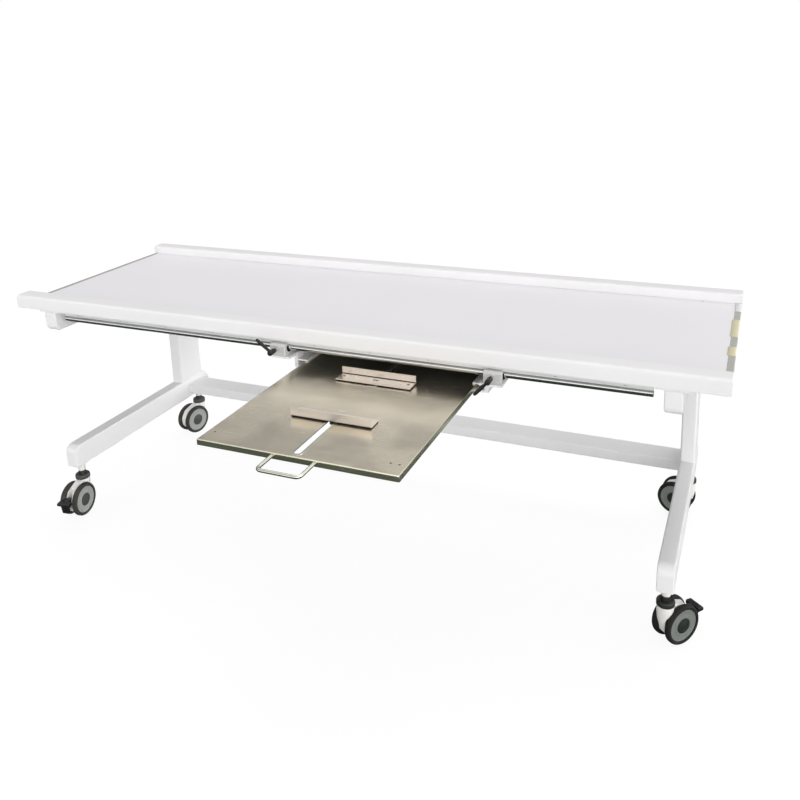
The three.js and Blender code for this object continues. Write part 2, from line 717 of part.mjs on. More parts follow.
// The brake pedal, drawn raised about its pivot: its arm, the tread and the block under the tread.
function pedal() {
  const arm = outline([
    [-9, -6, 4],
    [6, -6, 4],
    [20, -2],
    [20, 6],
    [4, 9, 5],
    [-9, 5, 4],
  ], 2);
  const tread = outline([
    [18, -3, 2],
    [36, -3, 3],
    [36, 6, 3],
    [18, 8, 3],
  ], 2);
  const under = outline([
    [17, 0, 2],
    [17, -31, 3],
    [27, -31, 4],
    [32, 0, 2],
  ], 2);
  const whole = joined(
    alongY(arm, -7.5, 7.5),
    alongY(tread, -21, 21, 1.5, 1),
    alongY(under, -11.5, 11.5, 1.5, 1),
  );
  return whole.translate(PEDAL_PIVOT.x, 0, PEDAL_PIVOT.z);
}

for (const [name, spot] of Object.entries(CASTERS)) {
  const caster = new THREE.Group();
  caster.position.set(spot.x, spot.y, 0);
  caster.rotation.z = THREE.MathUtils.degToRad(spot.yaw);
  table.add(caster);
  const hasPedal = spot.pedal === true;
  place(`stem_${name}`, stem(), STEEL, caster);
  place(`housing_${name}`, housing(hasPedal), HOUSING_WHITE, caster);
  for (const [which, side] of [["a", -1], ["b", 1]]) {
    place(`tyre_${name}_${which}`, tyre(side), TYRE_BLACK, caster);
    place(`hub_${name}_${which}`, hub(side), HUB_GREY, caster);
  }
  if (hasPedal) {
    place(`pedal_${name}`, pedal(), BLACK_PLASTIC, caster);
  }
}

// The whole stands over the middle of its own box, on the floor.
const around = new THREE.Box3().setFromObject(table, true);
table.position.y = -(around.min.y + around.max.y) / 2;

export default table;
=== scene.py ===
"""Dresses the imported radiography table: finishes, small fittings, studio light and camera."""

import json
import logging
import math
from dataclasses import dataclass
from enum import Enum
from typing import Mapping, Optional, Sequence, Union

import bmesh
import bpy
import numpy as np
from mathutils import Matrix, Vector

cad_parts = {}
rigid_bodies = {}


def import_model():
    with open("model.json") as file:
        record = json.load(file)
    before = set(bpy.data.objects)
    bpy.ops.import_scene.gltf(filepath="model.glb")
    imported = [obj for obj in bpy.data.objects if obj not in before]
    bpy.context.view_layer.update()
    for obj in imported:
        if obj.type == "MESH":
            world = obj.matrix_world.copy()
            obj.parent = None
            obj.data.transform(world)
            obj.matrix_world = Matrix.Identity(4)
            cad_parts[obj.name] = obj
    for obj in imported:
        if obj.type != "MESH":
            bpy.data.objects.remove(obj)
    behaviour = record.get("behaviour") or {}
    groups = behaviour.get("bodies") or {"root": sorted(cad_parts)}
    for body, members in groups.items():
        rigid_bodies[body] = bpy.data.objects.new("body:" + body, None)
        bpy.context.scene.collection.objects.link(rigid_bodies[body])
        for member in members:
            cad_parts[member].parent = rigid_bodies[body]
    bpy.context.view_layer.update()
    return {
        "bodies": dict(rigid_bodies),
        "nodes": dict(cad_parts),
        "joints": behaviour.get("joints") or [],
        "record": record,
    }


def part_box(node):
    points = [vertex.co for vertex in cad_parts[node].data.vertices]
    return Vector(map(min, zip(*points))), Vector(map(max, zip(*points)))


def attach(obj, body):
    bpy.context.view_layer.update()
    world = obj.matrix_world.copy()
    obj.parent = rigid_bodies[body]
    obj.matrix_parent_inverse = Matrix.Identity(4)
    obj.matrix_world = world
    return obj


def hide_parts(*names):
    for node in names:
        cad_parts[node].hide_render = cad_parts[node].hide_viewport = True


log = logging.getLogger("radiography_table")

Triple = tuple[float, float, float]
Pairs = tuple[tuple[float, float], ...]
Key = Union[int, str]
Value = Union["Socket", float, Sequence[float]]

MM = 0.001
X = np.array([1.0, 0.0, 0.0])
Y = np.array([0.0, 1.0, 0.0])
Z = np.array([0.0, 0.0, 1.0])
WHITE = (1.0, 1.0, 1.0)


class Socket:
    """One output of a shader node; arithmetic on it adds Math nodes."""

    def __init__(self, graph: "NodeGraph", output: Optional[bpy.types.NodeSocket]) -> None:
        """Keeps the output and the graph that it belongs to."""
        self.graph = graph
        self.output = output

    def math(self, operation: str, first: Value, second: Value) -> "Socket":
        """Adds one Math node for two values."""
        return self.graph.node("ShaderNodeMath", {"operation": operation}, {0: first, 1: second})

    def __add__(self, other: Value) -> "Socket":
        """Gives self + other."""
        return self.math("ADD", self, other)

    def __radd__(self, other: Value) -> "Socket":
        """Gives other + self."""
        return self.math("ADD", other, self)

    def __sub__(self, other: Value) -> "Socket":
        """Gives self - other."""
        return self.math("SUBTRACT", self, other)

    def __rsub__(self, other: Value) -> "Socket":
        """Gives other - self."""
        return self.math("SUBTRACT", other, self)

    def __mul__(self, other: Value) -> "Socket":
        """Gives self * other."""
        return self.math("MULTIPLY", self, other)

    def __rmul__(self, other: Value) -> "Socket":
        """Gives other * self."""
        return self.math("MULTIPLY", other, self)

    def at_least(self, other: Value) -> "Socket":
        """Gives the larger of self and other."""
        return self.math("MAXIMUM", self, other)


class NodeGraph:
    """Adds nodes and links to one node tree."""

    def __init__(self, tree: bpy.types.NodeTree) -> None:
        """Empties the tree."""
        self.tree = tree
        tree.nodes.clear()

    def node(
        self,
        kind: str,
        settings: Optional[Mapping[str, object]] = None,
        sockets: Optional[Mapping[Key, Value]] = None,
        output: Key = 0,
    ) -> Socket:
        """Adds a node.

        Args:
            kind: the node's type.
            settings: its own settings, set before its sockets.
            sockets: a value or a link for each input, by name or number.
            output: the output to hand back.

        Returns:
            The chosen output.
        """
        made = self.tree.nodes.new(kind)
        for key, value in (settings or {}).items():
            setattr(made, key, value)
        for key, value in (sockets or {}).items():
            self.plug(made.inputs[key], value)
        return Socket(self, made.outputs[output] if made.outputs else None)

    def plug(self, entry: bpy.types.NodeSocket, value: Value) -> None:
        """Links a socket to an input, or sets the input's own value.

        Args:
            entry: the input.
            value: the socket, number, vector or colour for it.
        """
        if isinstance(value, Socket):
            self.tree.links.new(value.output, entry)
        elif entry.type == "RGBA":
            entry.default_value = (*value, 1.0)
        else:
            entry.default_value = value

    def part(self, vector: Socket, letter: str) -> Socket:
        """Gives one coordinate of a vector."""
        return self.node("ShaderNodeSeparateXYZ", {}, {0: vector}, letter)

    def band(self, value: Socket, low: float, high: float) -> Socket:
        """Gives 0 below low, 1 above high and an eased step between them."""
        sockets = {"Value": value, "From Min": low, "From Max": high}
        return self.node("ShaderNodeMapRange", {"interpolation_type": "SMOOTHSTEP"}, sockets)

    def by_view(self, unseen: Socket, seen: Socket) -> Socket:
        """Gives one shader where the camera looks straight at it and another everywhere else."""
        camera = self.node("ShaderNodeLightPath", output="Is Camera Ray")
        return self.node("ShaderNodeMixShader", {}, {0: camera, 1: unseen, 2: seen})


class MaterialGraph(NodeGraph):
    """The nodes of one material of the part."""

    def __init__(self, name: str) -> None:
        """Makes an empty material.

        Args:
            name: the material's name.
        """
        self.material = bpy.data.materials.new(name)
        self.material.use_nodes = True
        super().__init__(self.material.node_tree)

    def point(self, scale: Optional[Triple] = None) -> Socket:
        """Gives a place on the object.

        Args:
            scale: how much the pattern is crowded along each axis, if it is.

        Returns:
            The place in metres, times the scale.
        """
        place = self.node("ShaderNodeTexCoord", output="Object")
        if scale is None:
            return place
        return self.node("ShaderNodeMapping", {}, {"Vector": place, "Scale": scale})

    def noise(self, place: Socket, scale: float, detail: float = 2.0, distortion: float = 0.0) -> Socket:
        """Gives cloudy noise from 0 to 1."""
        sockets = {"Vector": place, "Scale": scale, "Detail": detail, "Distortion": distortion}
        return self.node("ShaderNodeTexNoise", {}, sockets)

    def streaks(self, crowding: Triple, detail: float = 3.0, distortion: float = 0.0) -> Socket:
        """Gives noise drawn out along the axes where the crowding is small."""
        return self.noise(self.point(crowding), 1.0, detail, distortion)

    def blend(self, share: Value, first: Value, second: Value) -> Socket:
        """Gives the first colour at share 0 and the second at share 1."""
        return self.node("ShaderNodeMix", {"data_type": "RGBA"}, {0: share, 6: first, 7: second}, 2)

    def tones(self, share: Value, tint: Triple, low: float, high: float) -> Socket:
        """Gives a tint times low at share 0 and the same tint times high at share 1."""
        return self.blend(share, shaded(tint, low), shaded(tint, high))

    def bump(self, height: Socket, strength: float, distance: float) -> Socket:
        """Gives a normal that follows a height."""
        sockets = {"Height": height, "Strength": strength, "Distance": distance}
        return self.node("ShaderNodeBump", {}, sockets)

    def surface(self, sockets: Mapping[Key, Value]) -> None:
        """Ends the material in one shader with these sockets."""
        shader = self.node("ShaderNodeBsdfPrincipled", {}, sockets)
        self.node("ShaderNodeOutputMaterial", {}, {"Surface": shader})


def shaded(tint: Triple, share: float) -> Triple:
    """Gives a tint made lighter or darker by a share."""
    return tuple(channel * share for channel in tint)


@dataclass(frozen=True)
class Finish:
    """A finish of the real object, which makes its material once."""

    name: str
    tint: Triple

    def shade(self, graph: MaterialGraph) -> None:
        """Adds the finish's nodes to a material's graph."""
        raise NotImplementedError

    def material(self) -> bpy.types.Material:
        """Makes the finish's material when it is first asked for.

        Returns:
            The material.
        """
        known = bpy.data.materials.get(self.name)
        if known is not None:
            return known
        graph = MaterialGraph(self.name)
        self.shade(graph)
        return graph.material


@dataclass(frozen=True)
class PowderCoat(Finish):
    """Satin powder coat: fine orange peel, a slow drift of tone and a few rubbed marks."""

    roughness: float = 0.36

    def shade(self, graph: MaterialGraph) -> None:
        """Adds the coat's nodes.

        Args:
            graph: the material's graph.
        """
        place = graph.point()
        drift = graph.noise(place, 2.6, 3.0)
        rubbed = graph.band(graph.noise(graph.point((3.0, 3.0, 14.0)), 5.0, 5.0, 0.6), 0.62, 0.78)
        peel = graph.noise(place, 750.0)
        tone = graph.tones(graph.band(drift, 0.3, 0.7), self.tint, 0.97, 1.0)
        graph.surface({
            "Base Color": graph.blend(rubbed * 0.35, tone, shaded(self.tint, 0.9)),
            "Roughness": self.roughness + drift * 0.08 + rubbed * 0.1,
            "Normal": graph.bump(peel, 0.08, 0.0004),
        })


@dataclass(frozen=True)
class Laminate(Finish):
    """The board: a satin laminate on top, and a near-black back underneath which is painted shade, standing
    in for the shade under the table.
    """

    # Near-black colour of the board's back: painted shade, standing in for the shade under the table.
    back: Triple = (0.026, 0.02, 0.015)
    back_level: float = 0.6765
    skin: float = 0.0005
    roughness: float = 0.46

    def shade(self, graph: MaterialGraph) -> None:
        """Adds the board's nodes; under the board's upper skin the colour is the painted-shade back.

        Args:
            graph: the material's graph.
        """
        place = graph.point()
        drift = graph.noise(place, 1.7, 3.0)
        stipple = graph.noise(place, 1100.0)
        height = graph.part(place, "Z")
        # Above the back level the laminate face shows; under it, the painted-shade back.
        upper = graph.band(height, self.back_level - self.skin, self.back_level + self.skin)
        face = graph.tones(graph.band(drift, 0.3, 0.7), self.tint, 0.975, 1.0)
        fibre = graph.streaks((30.0, 300.0, 300.0))
        back = graph.tones(fibre, self.back, 0.7, 1.4)
        graph.surface({
            "Base Color": graph.blend(upper, back, face),
            "Roughness": self.roughness + stipple * 0.1,
            "Normal": graph.bump(stipple, 0.06, 0.0003),
        })


@dataclass(frozen=True)
class BrushedSheet(Finish):
    """Stainless sheet: fine brush lines, wiped clouds and a few scratches; under a fold level another tone is
    painted in, which is painted reflection on the tray's rim and painted light on the back clamp's flange.
    """

    roughness: float
    metal: float = 1.0
    fold_level: float = 0.0
    # Tone under the fold level; the default dark green is the tray rim's painted reflection.
    below: Triple = (0.55, 0.555, 0.42)
    fold_from: float = 0.0016
    fold_to: float = 0.0002

    def shade(self, graph: MaterialGraph) -> None:
        """Adds the sheet's nodes.

        Args:
            graph: the material's graph.
        """
        place = graph.point()
        cloud = graph.band(graph.noise(place, 7.0, 5.0, 0.7), 0.36, 0.66)
        wiped = graph.band(graph.noise(graph.point((4.0, 11.0, 4.0)), 2.2, 4.0, 0.6), 0.4, 0.75)
        lines = graph.streaks((12.0, 900.0, 900.0))
        scratch = graph.band(graph.streaks((9.0, 240.0, 60.0), 2.0, 0.2), 0.66, 0.8)
        tone = graph.tones(cloud, self.tint, 0.92, 1.06)
        face = graph.blend(wiped * 0.4, tone, shaded(self.tint, 1.16))
        # Under the fold level the colour is the painted tone: painted reflection on the tray's rim, painted
        # light on the back clamp's flange.
        height = graph.part(place, "Z")
        upper = graph.band(height, self.fold_level - self.fold_from, self.fold_level - self.fold_to)
        graph.surface({
            "Base Color": graph.blend(upper, self.below, face),
            "Metallic": self.metal,
            "Roughness": self.roughness + cloud * 0.05 + lines * 0.04 + scratch * 0.04,
            "Normal": graph.bump(lines, 0.04, 0.0002),
        })


@dataclass(frozen=True)
class DrawnMetal(Finish):
    """Plain metal with the lines of drawing, grinding or cutting across it."""

    roughness: float
    crowding: Triple = (10.0, 700.0, 700.0)
    metal: float = 1.0

    def shade(self, graph: MaterialGraph) -> None:
        """Adds the metal's nodes.

        Args:
            graph: the material's graph.
        """
        drift = graph.noise(graph.point(), 14.0, 3.0)
        lines = graph.streaks(self.crowding)
        graph.surface({
            "Base Color": graph.tones(drift, self.tint, 0.9, 1.06),
            "Metallic": self.metal,
            "Roughness": self.roughness - 0.05 + lines * 0.1,
            "Normal": graph.bump(lines, 0.06, 0.0002),
        })


@dataclass(frozen=True)
class MouldedPlastic(Finish):
    """Moulded plastic with a spark-eroded grain and a little dust."""

    roughness: float
    dust: float
    gloss: float = 0.5
    dust_tone: float = 0.5

    def shade(self, graph: MaterialGraph) -> None:
        """Adds the plastic's nodes.

        Args:
            graph: the material's graph.
        """
        place = graph.point()
        grain = graph.noise(place, 1500.0)
        settled = graph.band(graph.noise(place, 38.0, 5.0, 0.4), 0.45, 0.75)
        dusted = tuple(channel + self.dust * (self.dust_tone - channel) for channel in self.tint)
        graph.surface({
            "Base Color": graph.blend(settled, self.tint, dusted),
            "Roughness": self.roughness + settled * 0.14,
            "Specular IOR Level": self.gloss,
            "Normal": graph.bump(grain, 0.1, 0.0003),
        })


@dataclass(frozen=True)
class TreadRubber(Finish):
    """Dark rubber: fine scuffs across it and pale dust in places."""

    roughness: float = 0.62
    gloss: float = 0.25

    def shade(self, graph: MaterialGraph) -> None:
        """Adds the rubber's nodes.

        Args:
            graph: the material's graph.
        """
        place = graph.point()
        scuff = graph.noise(place, 420.0, 4.0)
        dusty = graph.band(graph.noise(place, 30.0, 5.0, 0.5), 0.5, 0.75)
        graph.surface({
            "Base Color": graph.tones(dusty * 0.5, self.tint, 1.0, 2.2),
            "Roughness": self.roughness + scuff * 0.2,
            "Specular IOR Level": self.gloss,
            "Normal": graph.bump(scuff, 0.15, 0.0004),
        })


@dataclass(frozen=True)
class CrepeTape(Finish):
    """Paper tape: fine creases across it and a yellowed tone."""

    roughness: float = 0.7

    def shade(self, graph: MaterialGraph) -> None:
        """Adds the tape's nodes.

        Args:
            graph: the material's graph.
        """
        crease = graph.streaks((60.0, 900.0, 60.0))
        aged = graph.noise(graph.point(), 45.0, 4.0)
        graph.surface({
            "Base Color": graph.tones(aged, self.tint, 0.92, 1.05),
            "Roughness": self.roughness + crease * 0.15,
            "Normal": graph.bump(crease, 0.25, 0.0003),
        })


class Look(Enum):
    """Every finish on the table."""

    WHITE_PAINT = PowderCoat("white_powder_coat", (0.86, 0.85, 0.855))
    BOARD = Laminate("board_laminate_painted_shade_back", (0.84, 0.825, 0.85))
    # The tray: its rim under the top takes the dark green painted reflection.
    STAINLESS = BrushedSheet("brushed_stainless_painted_rim_reflection", (0.74, 0.678, 0.555), 0.2, 0.93, 0.597)
    # The back clamp: its flange, under the bend, is painted lighter: painted light.
    CLAMP_SHEET = BrushedSheet(
        "stainless_painted_light_flange", (0.78, 0.71, 0.64), 0.24, 0.85, 0.6035, (0.94, 0.87, 0.8)
    )
    CLAMP_FACE = BrushedSheet("satin_stainless", (0.76, 0.7, 0.63), 0.36, 0.72)
    HANDLE = BrushedSheet("polished_rod", (0.7, 0.7, 0.62), 0.2)
    ALUMINIUM = DrawnMetal("drawn_aluminium", (0.78, 0.775, 0.77), 0.5, metal=0.4)
    # The guide supports: a paler, less metallic copy of the drawn aluminium, painted light against the shade
    # under the rails.
    GUIDE_RAIL = DrawnMetal("guide_aluminium_painted_light", (0.86, 0.86, 0.865), 0.42, metal=0.26)
    STRIP = DrawnMetal("dull_strip", (0.49, 0.48, 0.44), 0.5, (700.0, 10.0, 700.0), 0.5)
    CHROME = DrawnMetal("ground_chrome", (0.62, 0.62, 0.615), 0.13, (500.0, 6.0, 6.0))
    ZINC = DrawnMetal("bright_zinc", (0.6, 0.61, 0.61), 0.36, (120.0, 120.0, 600.0))
    GEAR_STEEL = DrawnMetal("cut_steel", (0.2, 0.2, 0.195), 0.4, (120.0, 120.0, 900.0))
    BLACK_PLASTIC = MouldedPlastic("black_plastic_grip", (0.01, 0.011, 0.01), 0.34, 0.02, 0.45)
    CASTER_WHITE = MouldedPlastic("off_white_plastic", (0.78, 0.77, 0.74), 0.45, 0.05)
    # Lighter copy of the caster plastic for the left casters' housings: painted light.
    CASTER_PAINTED_LIGHT = MouldedPlastic("caster_plastic_painted_light", (0.88, 0.865, 0.84), 0.45, 0.03)
    CAP_DARK = MouldedPlastic("dark_cap_plastic", (0.02, 0.024, 0.021), 0.36, 0.02, 0.35)
    # Lighter copy of the dark cap for the left casters: painted light.
    CAP_PAINTED_LIGHT = MouldedPlastic("cap_plastic_painted_light", (0.06, 0.064, 0.056), 0.42, 0.06, 0.4)
    HUB_GREY = MouldedPlastic("grey_wheel_plastic", (0.17, 0.182, 0.17), 0.5, 0.05, 0.35)
    # Lighter copy of the grey wheel body for the left casters: painted light.
    HUB_PAINTED_LIGHT = MouldedPlastic("wheel_plastic_painted_light", (0.335, 0.35, 0.33), 0.5, 0.06, 0.4)
    TREAD = TreadRubber("tread_rubber", (0.014, 0.014, 0.0125))
    # Lighter copy of the tread for the left casters: painted light.
    TREAD_PAINTED_LIGHT = TreadRubber("tread_rubber_painted_light", (0.045, 0.043, 0.037))
    SEAL = TreadRubber("seal_rubber", (0.006, 0.006, 0.006))
    TAPE = CrepeTape("paper_tape", (0.77, 0.715, 0.5))

    def material(self) -> bpy.types.Material:
        """Gives the finish's material."""
        return self.value.material()


SLOT_LOOKS = {
    "white_paint": Look.WHITE_PAINT,
    "panel_board": Look.BOARD,
    "aluminium": Look.ALUMINIUM,
    "shaft_chrome": Look.CHROME,
    "stainless": Look.STAINLESS,
    "gear_steel": Look.GEAR_STEEL,
    "black_plastic": Look.BLACK_PLASTIC,
    "caster_white": Look.CASTER_WHITE,
    "stem_steel": Look.ZINC,
    "tyre_rubber": Look.TREAD,
    "hub_grey": Look.HUB_GREY,
}
NODE_LOOKS = {
    "end_strip_left": Look.STRIP,
    "end_strip_right": Look.STRIP,
    "clamp_front": Look.CLAMP_FACE,
    "clamp_back": Look.CLAMP_SHEET,
    "guide_support_front": Look.GUIDE_RAIL,
    "guide_support_back": Look.GUIDE_RAIL,
    # The left casters' housings take the lighter copy of the caster plastic: painted light.
    "housing_front_left": Look.CASTER_PAINTED_LIGHT,
    "housing_back_left": Look.CASTER_PAINTED_LIGHT,
}


@dataclass
class Shell:
    """Points and four-sided faces, worked out as whole arrays."""

    points: np.ndarray
    faces: np.ndarray

    @staticmethod
    def grid(surface: np.ndarray, loop_rows: bool = False, loop_columns: bool = False) -> "Shell":
        """Covers a grid of points with faces between neighbours.

        Args:
            surface: points by row and column.
            loop_rows: whether the last row joins the first.
            loop_columns: whether the last column joins the first.

        Returns:
            The shell.
        """
        rows, columns = surface.shape[:2]
        index = np.arange(rows * columns).reshape(rows, columns)
        if loop_columns:
            index = np.concatenate([index, index[:, :1]], axis=1)
        if loop_rows:
            index = np.concatenate([index, index[:1]], axis=0)
        corners = [index[:-1, :-1], index[1:, :-1], index[1:, 1:], index[:-1, 1:]]
        return Shell(surface.reshape(-1, 3), np.stack(corners, axis=-1).reshape(-1, 4))

    @staticmethod
    def stack(rings: np.ndarray) -> "Shell":
        """Covers rings of points in order, with a point in the middle of each end ring as its cap."""
        ends = [np.broadcast_to(ring.mean(axis=0), ring.shape)[None] for ring in (rings[0], rings[-1])]
        return Shell.grid(np.concatenate([ends[0], rings, ends[1]]), loop_columns=True)

    @staticmethod
    def joined(shells: Sequence["Shell"]) -> "Shell":
        """Puts several shells into one.

        Args:
            shells: the shells.

        Returns:
            One shell, with each shell's face numbers moved up by the points before it.
        """
        starts = np.cumsum([0] + [len(shell.points) for shell in shells[:-1]])
        faces = [shell.faces + start for shell, start in zip(shells, starts)]
        return Shell(np.concatenate([shell.points for shell in shells]), np.concatenate(faces))

    def mesh(self, name: str) -> bpy.types.Mesh:
        """Makes a mesh of the shell.

        Args:
            name: the mesh's name.

        Returns:
            The mesh.
        """
        made = bpy.data.meshes.new(name)
        made.from_pydata(self.points.tolist(), [], self.faces.tolist())
        return made


@dataclass(frozen=True)
class Place:
    """A local frame: its origin, the axis a turned piece stands on, and the direction across."""

    origin: np.ndarray
    axis: np.ndarray
    across: np.ndarray

    def points(self, along: np.ndarray, right: np.ndarray, up: np.ndarray) -> np.ndarray:
        """Carries local distances into the shared frame.

        Args:
            along: distances along the axis.
            right: distances across.
            up: distances along the third direction.

        Returns:
            The origin plus each distance times its own direction.
        """
        sideways = np.cross(self.axis, self.across)
        spans = ((along, self.axis), (right, self.across), (up, sideways))
        return self.origin + sum(distance[..., None] * direction for distance, direction in spans)


def upright(origin: np.ndarray) -> Place:
    """Gives a frame that stands along Z."""
    return Place(np.asarray(origin, float), Z, X)


def eased(corners: Union[np.ndarray, Pairs], cut: float, steps: int = 4) -> np.ndarray:
    """Rounds the inner corners of a line.

    Each corner becomes a curve from a point before it to a point after it: (1-t)^2 times the first, plus
    2t(1-t) times the corner, plus t^2 times the last, with t from 0 to 1.

    Args:
        corners: the line's corners.
        cut: how far from a corner its curve starts, at most 0.45 of the side.
        steps: points on each curve.

    Returns:
        The rounded line.
    """
    line = np.asarray(corners, float)
    sides = np.diff(line, axis=0)
    lengths = np.linalg.norm(sides, axis=1, keepdims=True)
    ways = sides / np.maximum(lengths, 1e-12)
    reach = np.minimum(cut, 0.45 * np.minimum(lengths[:-1], lengths[1:]))
    bends = line[1:-1, None]
    before = bends - (reach * ways[:-1])[:, None]
    after = bends + (reach * ways[1:])[:, None]
    t = np.linspace(0.0, 1.0, steps + 1)[None, :, None]
    curves = (1 - t) ** 2 * before + 2 * t * (1 - t) * bends + t**2 * after
    return np.concatenate([line[:1], curves.reshape(-1, line.shape[1]), line[-1:]])


def around(count: int) -> np.ndarray:
    """Gives angles that divide a full turn."""
    return np.linspace(0.0, 2 * math.pi, count, endpoint=False)


def turned(
    profile: np.ndarray, place: Place, segments: int = 48, six_sided: Optional[Sequence[int]] = None
) -> Shell:
    """Turns a profile about its place's axis.

    A point at radius r and angle a goes to r cos a across and r sin a sideways. Where six_sided is 1 the
    radius is that of a hexagon: cos 30 degrees over the cosine of the angle from the nearest flat's middle.

    Args:
        profile: radius and height along the axis, in order.
        place: the frame.
        segments: points around.
        six_sided: 0 or 1 for each profile point.

    Returns:
        The shell.
    """
    angle = around(segments)
    from_flat = np.mod(angle, math.pi / 3) - math.pi / 6
    hexagon = math.cos(math.pi / 6) / np.cos(from_flat)
    share = np.zeros(len(profile)) if six_sided is None else np.asarray(six_sided, float)
    radius = profile[:, :1] * (1 + share[:, None] * (hexagon[None] - 1))
    along = np.broadcast_to(profile[:, 1:], radius.shape)
    surface = place.points(along, radius * np.cos(angle), radius * np.sin(angle))
    return Shell.grid(surface, loop_columns=True)


@dataclass(frozen=True)
class Turning:
    """A turned form: radius and height of its profile in millimetres, and how its corners are rounded."""

    profile: Pairs
    cut: float
    steps: int = 3
    segments: int = 48

    def shell(self, place: Place) -> Shell:
        """Rounds the profile's corners and turns it about a place's axis."""
        line = eased(np.array(self.profile, float) * MM, self.cut * MM, self.steps)
        return turned(line, place, self.segments)


def rounded_outline(width: float, height: float, radius: float, steps: int = 6) -> np.ndarray:
    """Gives a rounded rectangle about the middle: a quarter circle about each inner corner in turn.

    Args:
        width: its full width.
        height: its full height.
        radius: its corners' radius.
        steps: sides to each corner.

    Returns:
        The outline's points, once round.
    """
    turn = np.linspace(0.0, math.pi / 2, steps + 1)
    quarter = np.arange(4)[:, None] * math.pi / 2
    signs = np.array([[1, 1], [-1, 1], [-1, -1], [1, -1]], float)
    centres = signs * (np.array([width, height]) / 2 - radius)
    arc = radius * np.stack([np.cos(turn + quarter), np.sin(turn + quarter)], axis=-1)
    return (centres[:, None] + arc).reshape(-1, 2)


def plate(outline: np.ndarray, place: Place, thick: float, edge: float) -> Shell:
    """Makes a plate with an eased edge: the outline, then the outline drawn in by the edge at the top.

    Args:
        outline: the plate's outline about its middle.
        place: the frame; the plate stands along its axis.
        thick: the plate's thickness.
        edge: how far the edge is eased.

    Returns:
        The closed plate.
    """
    spread = np.abs(outline).max(axis=0)
    inner = outline * ((spread - edge) / spread)
    rings = np.stack([outline, outline, inner])
    heights = np.broadcast_to(np.array([0.0, thick - edge, thick])[:, None], rings.shape[:2])
    return Shell.stack(place.points(heights, rings[..., 0], rings[..., 1]))


def tube(path: np.ndarray, radii: np.ndarray, segments: int) -> Shell:
    """Carries a circle along a level path: each ring lies across the path's direction.

    Args:
        path: the path's points, all at one height.
        radii: the circle's radius at each point.
        segments: points around.

    Returns:
        The closed tube.
    """
    ways = np.gradient(path, axis=0)
    ways /= np.linalg.norm(ways, axis=1, keepdims=True)
    sides = np.cross(ways, Z)
    angle = around(segments)[None, :, None]
    rings = path[:, None] + radii[:, None, None] * (np.cos(angle) * sides[:, None] + np.sin(angle) * Z)
    return Shell.stack(rings)


def bead(
    centre: np.ndarray, reach: np.ndarray, radius: float, *, blunt: int, steps: int, segments: int
) -> Shell:
    """Lays a straight bead whose ends are rounded.

    At share s from -1 to 1 of its reach, its radius is the full one times the root of 1 - s^blunt, where
    the value under the root is kept at 0.02 or more.

    Args:
        centre: the bead's middle.
        reach: from the middle to one end.
        radius: the full radius.
        blunt: the power that makes the ends blunter.
        steps: rings along the bead.
        segments: points around.

    Returns:
        The closed bead.
    """
    share = np.linspace(-1.0, 1.0, steps)
    radii = radius * np.sqrt(np.maximum(1 - share**blunt, 0.02))
    return tube(centre + share[:, None] * reach, radii, segments)


class Fastener(Enum):
    """Small fasteners, as radius and height of the turned profile and which points are six-sided."""

    HEX_BOLT = (
        ((0, 0), (8.5, 0), (8.5, 1.2), (6.6, 1.2), (6.6, 4.6), (5.8, 5.2), (0, 5.2)),
        (0, 0, 0, 0, 1, 1, 1),
    )
    BUTTON = (
        ((0, 0), (4.2, 0), (4.1, 0.9), (3.2, 2.0), (1.9, 2.4), (1.8, 2.4), (1.8, 1.1), (0, 1.1)),
        (0, 0, 0, 0, 0, 1, 1, 1),
    )
    RIVET = (((0, 0), (3.6, 0), (3.4, 0.3), (2.4, 0.5), (0, 0.55)), (0, 0, 0, 0, 0))

    def shell(self, place: Place, segments: int = 18) -> Shell:
        """Makes the fastener, standing on a place."""
        points, flats = self.value
        return turned(np.array(points, float) * MM, place, segments, flats)

    def row(self, origins: np.ndarray, axis: np.ndarray) -> Shell:
        """Makes one fastener at each origin, all along the same axis."""
        return Shell.joined([self.shell(Place(origin, axis, X)) for origin in origins])


def spots(*axes: Sequence[float]) -> np.ndarray:
    """Gives every combination of the places along X, Y and Z."""
    return np.stack(np.meshgrid(*axes, indexing="ij"), axis=-1).reshape(-1, 3)


def either(centre: float, off: float) -> list[float]:
    """Gives the two places at a distance either side of a centre."""
    return [centre - off, centre + off]


def box(node: str) -> tuple[np.ndarray, np.ndarray]:
    """Gives a node's lowest and highest corners as arrays."""
    low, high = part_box(node)
    return np.array(low), np.array(high)


def middle(node: str) -> np.ndarray:
    """Gives the middle of a node's box."""
    low, high = box(node)
    return (low + high) / 2


def placed(name: str, data: bpy.types.ID) -> bpy.types.Object:
    """Adds an object to the scene.

    Args:
        name: the object's name.
        data: its mesh or camera.

    Returns:
        The object.
    """
    made = bpy.data.objects.new(name, data)
    bpy.context.scene.collection.objects.link(made)
    return made


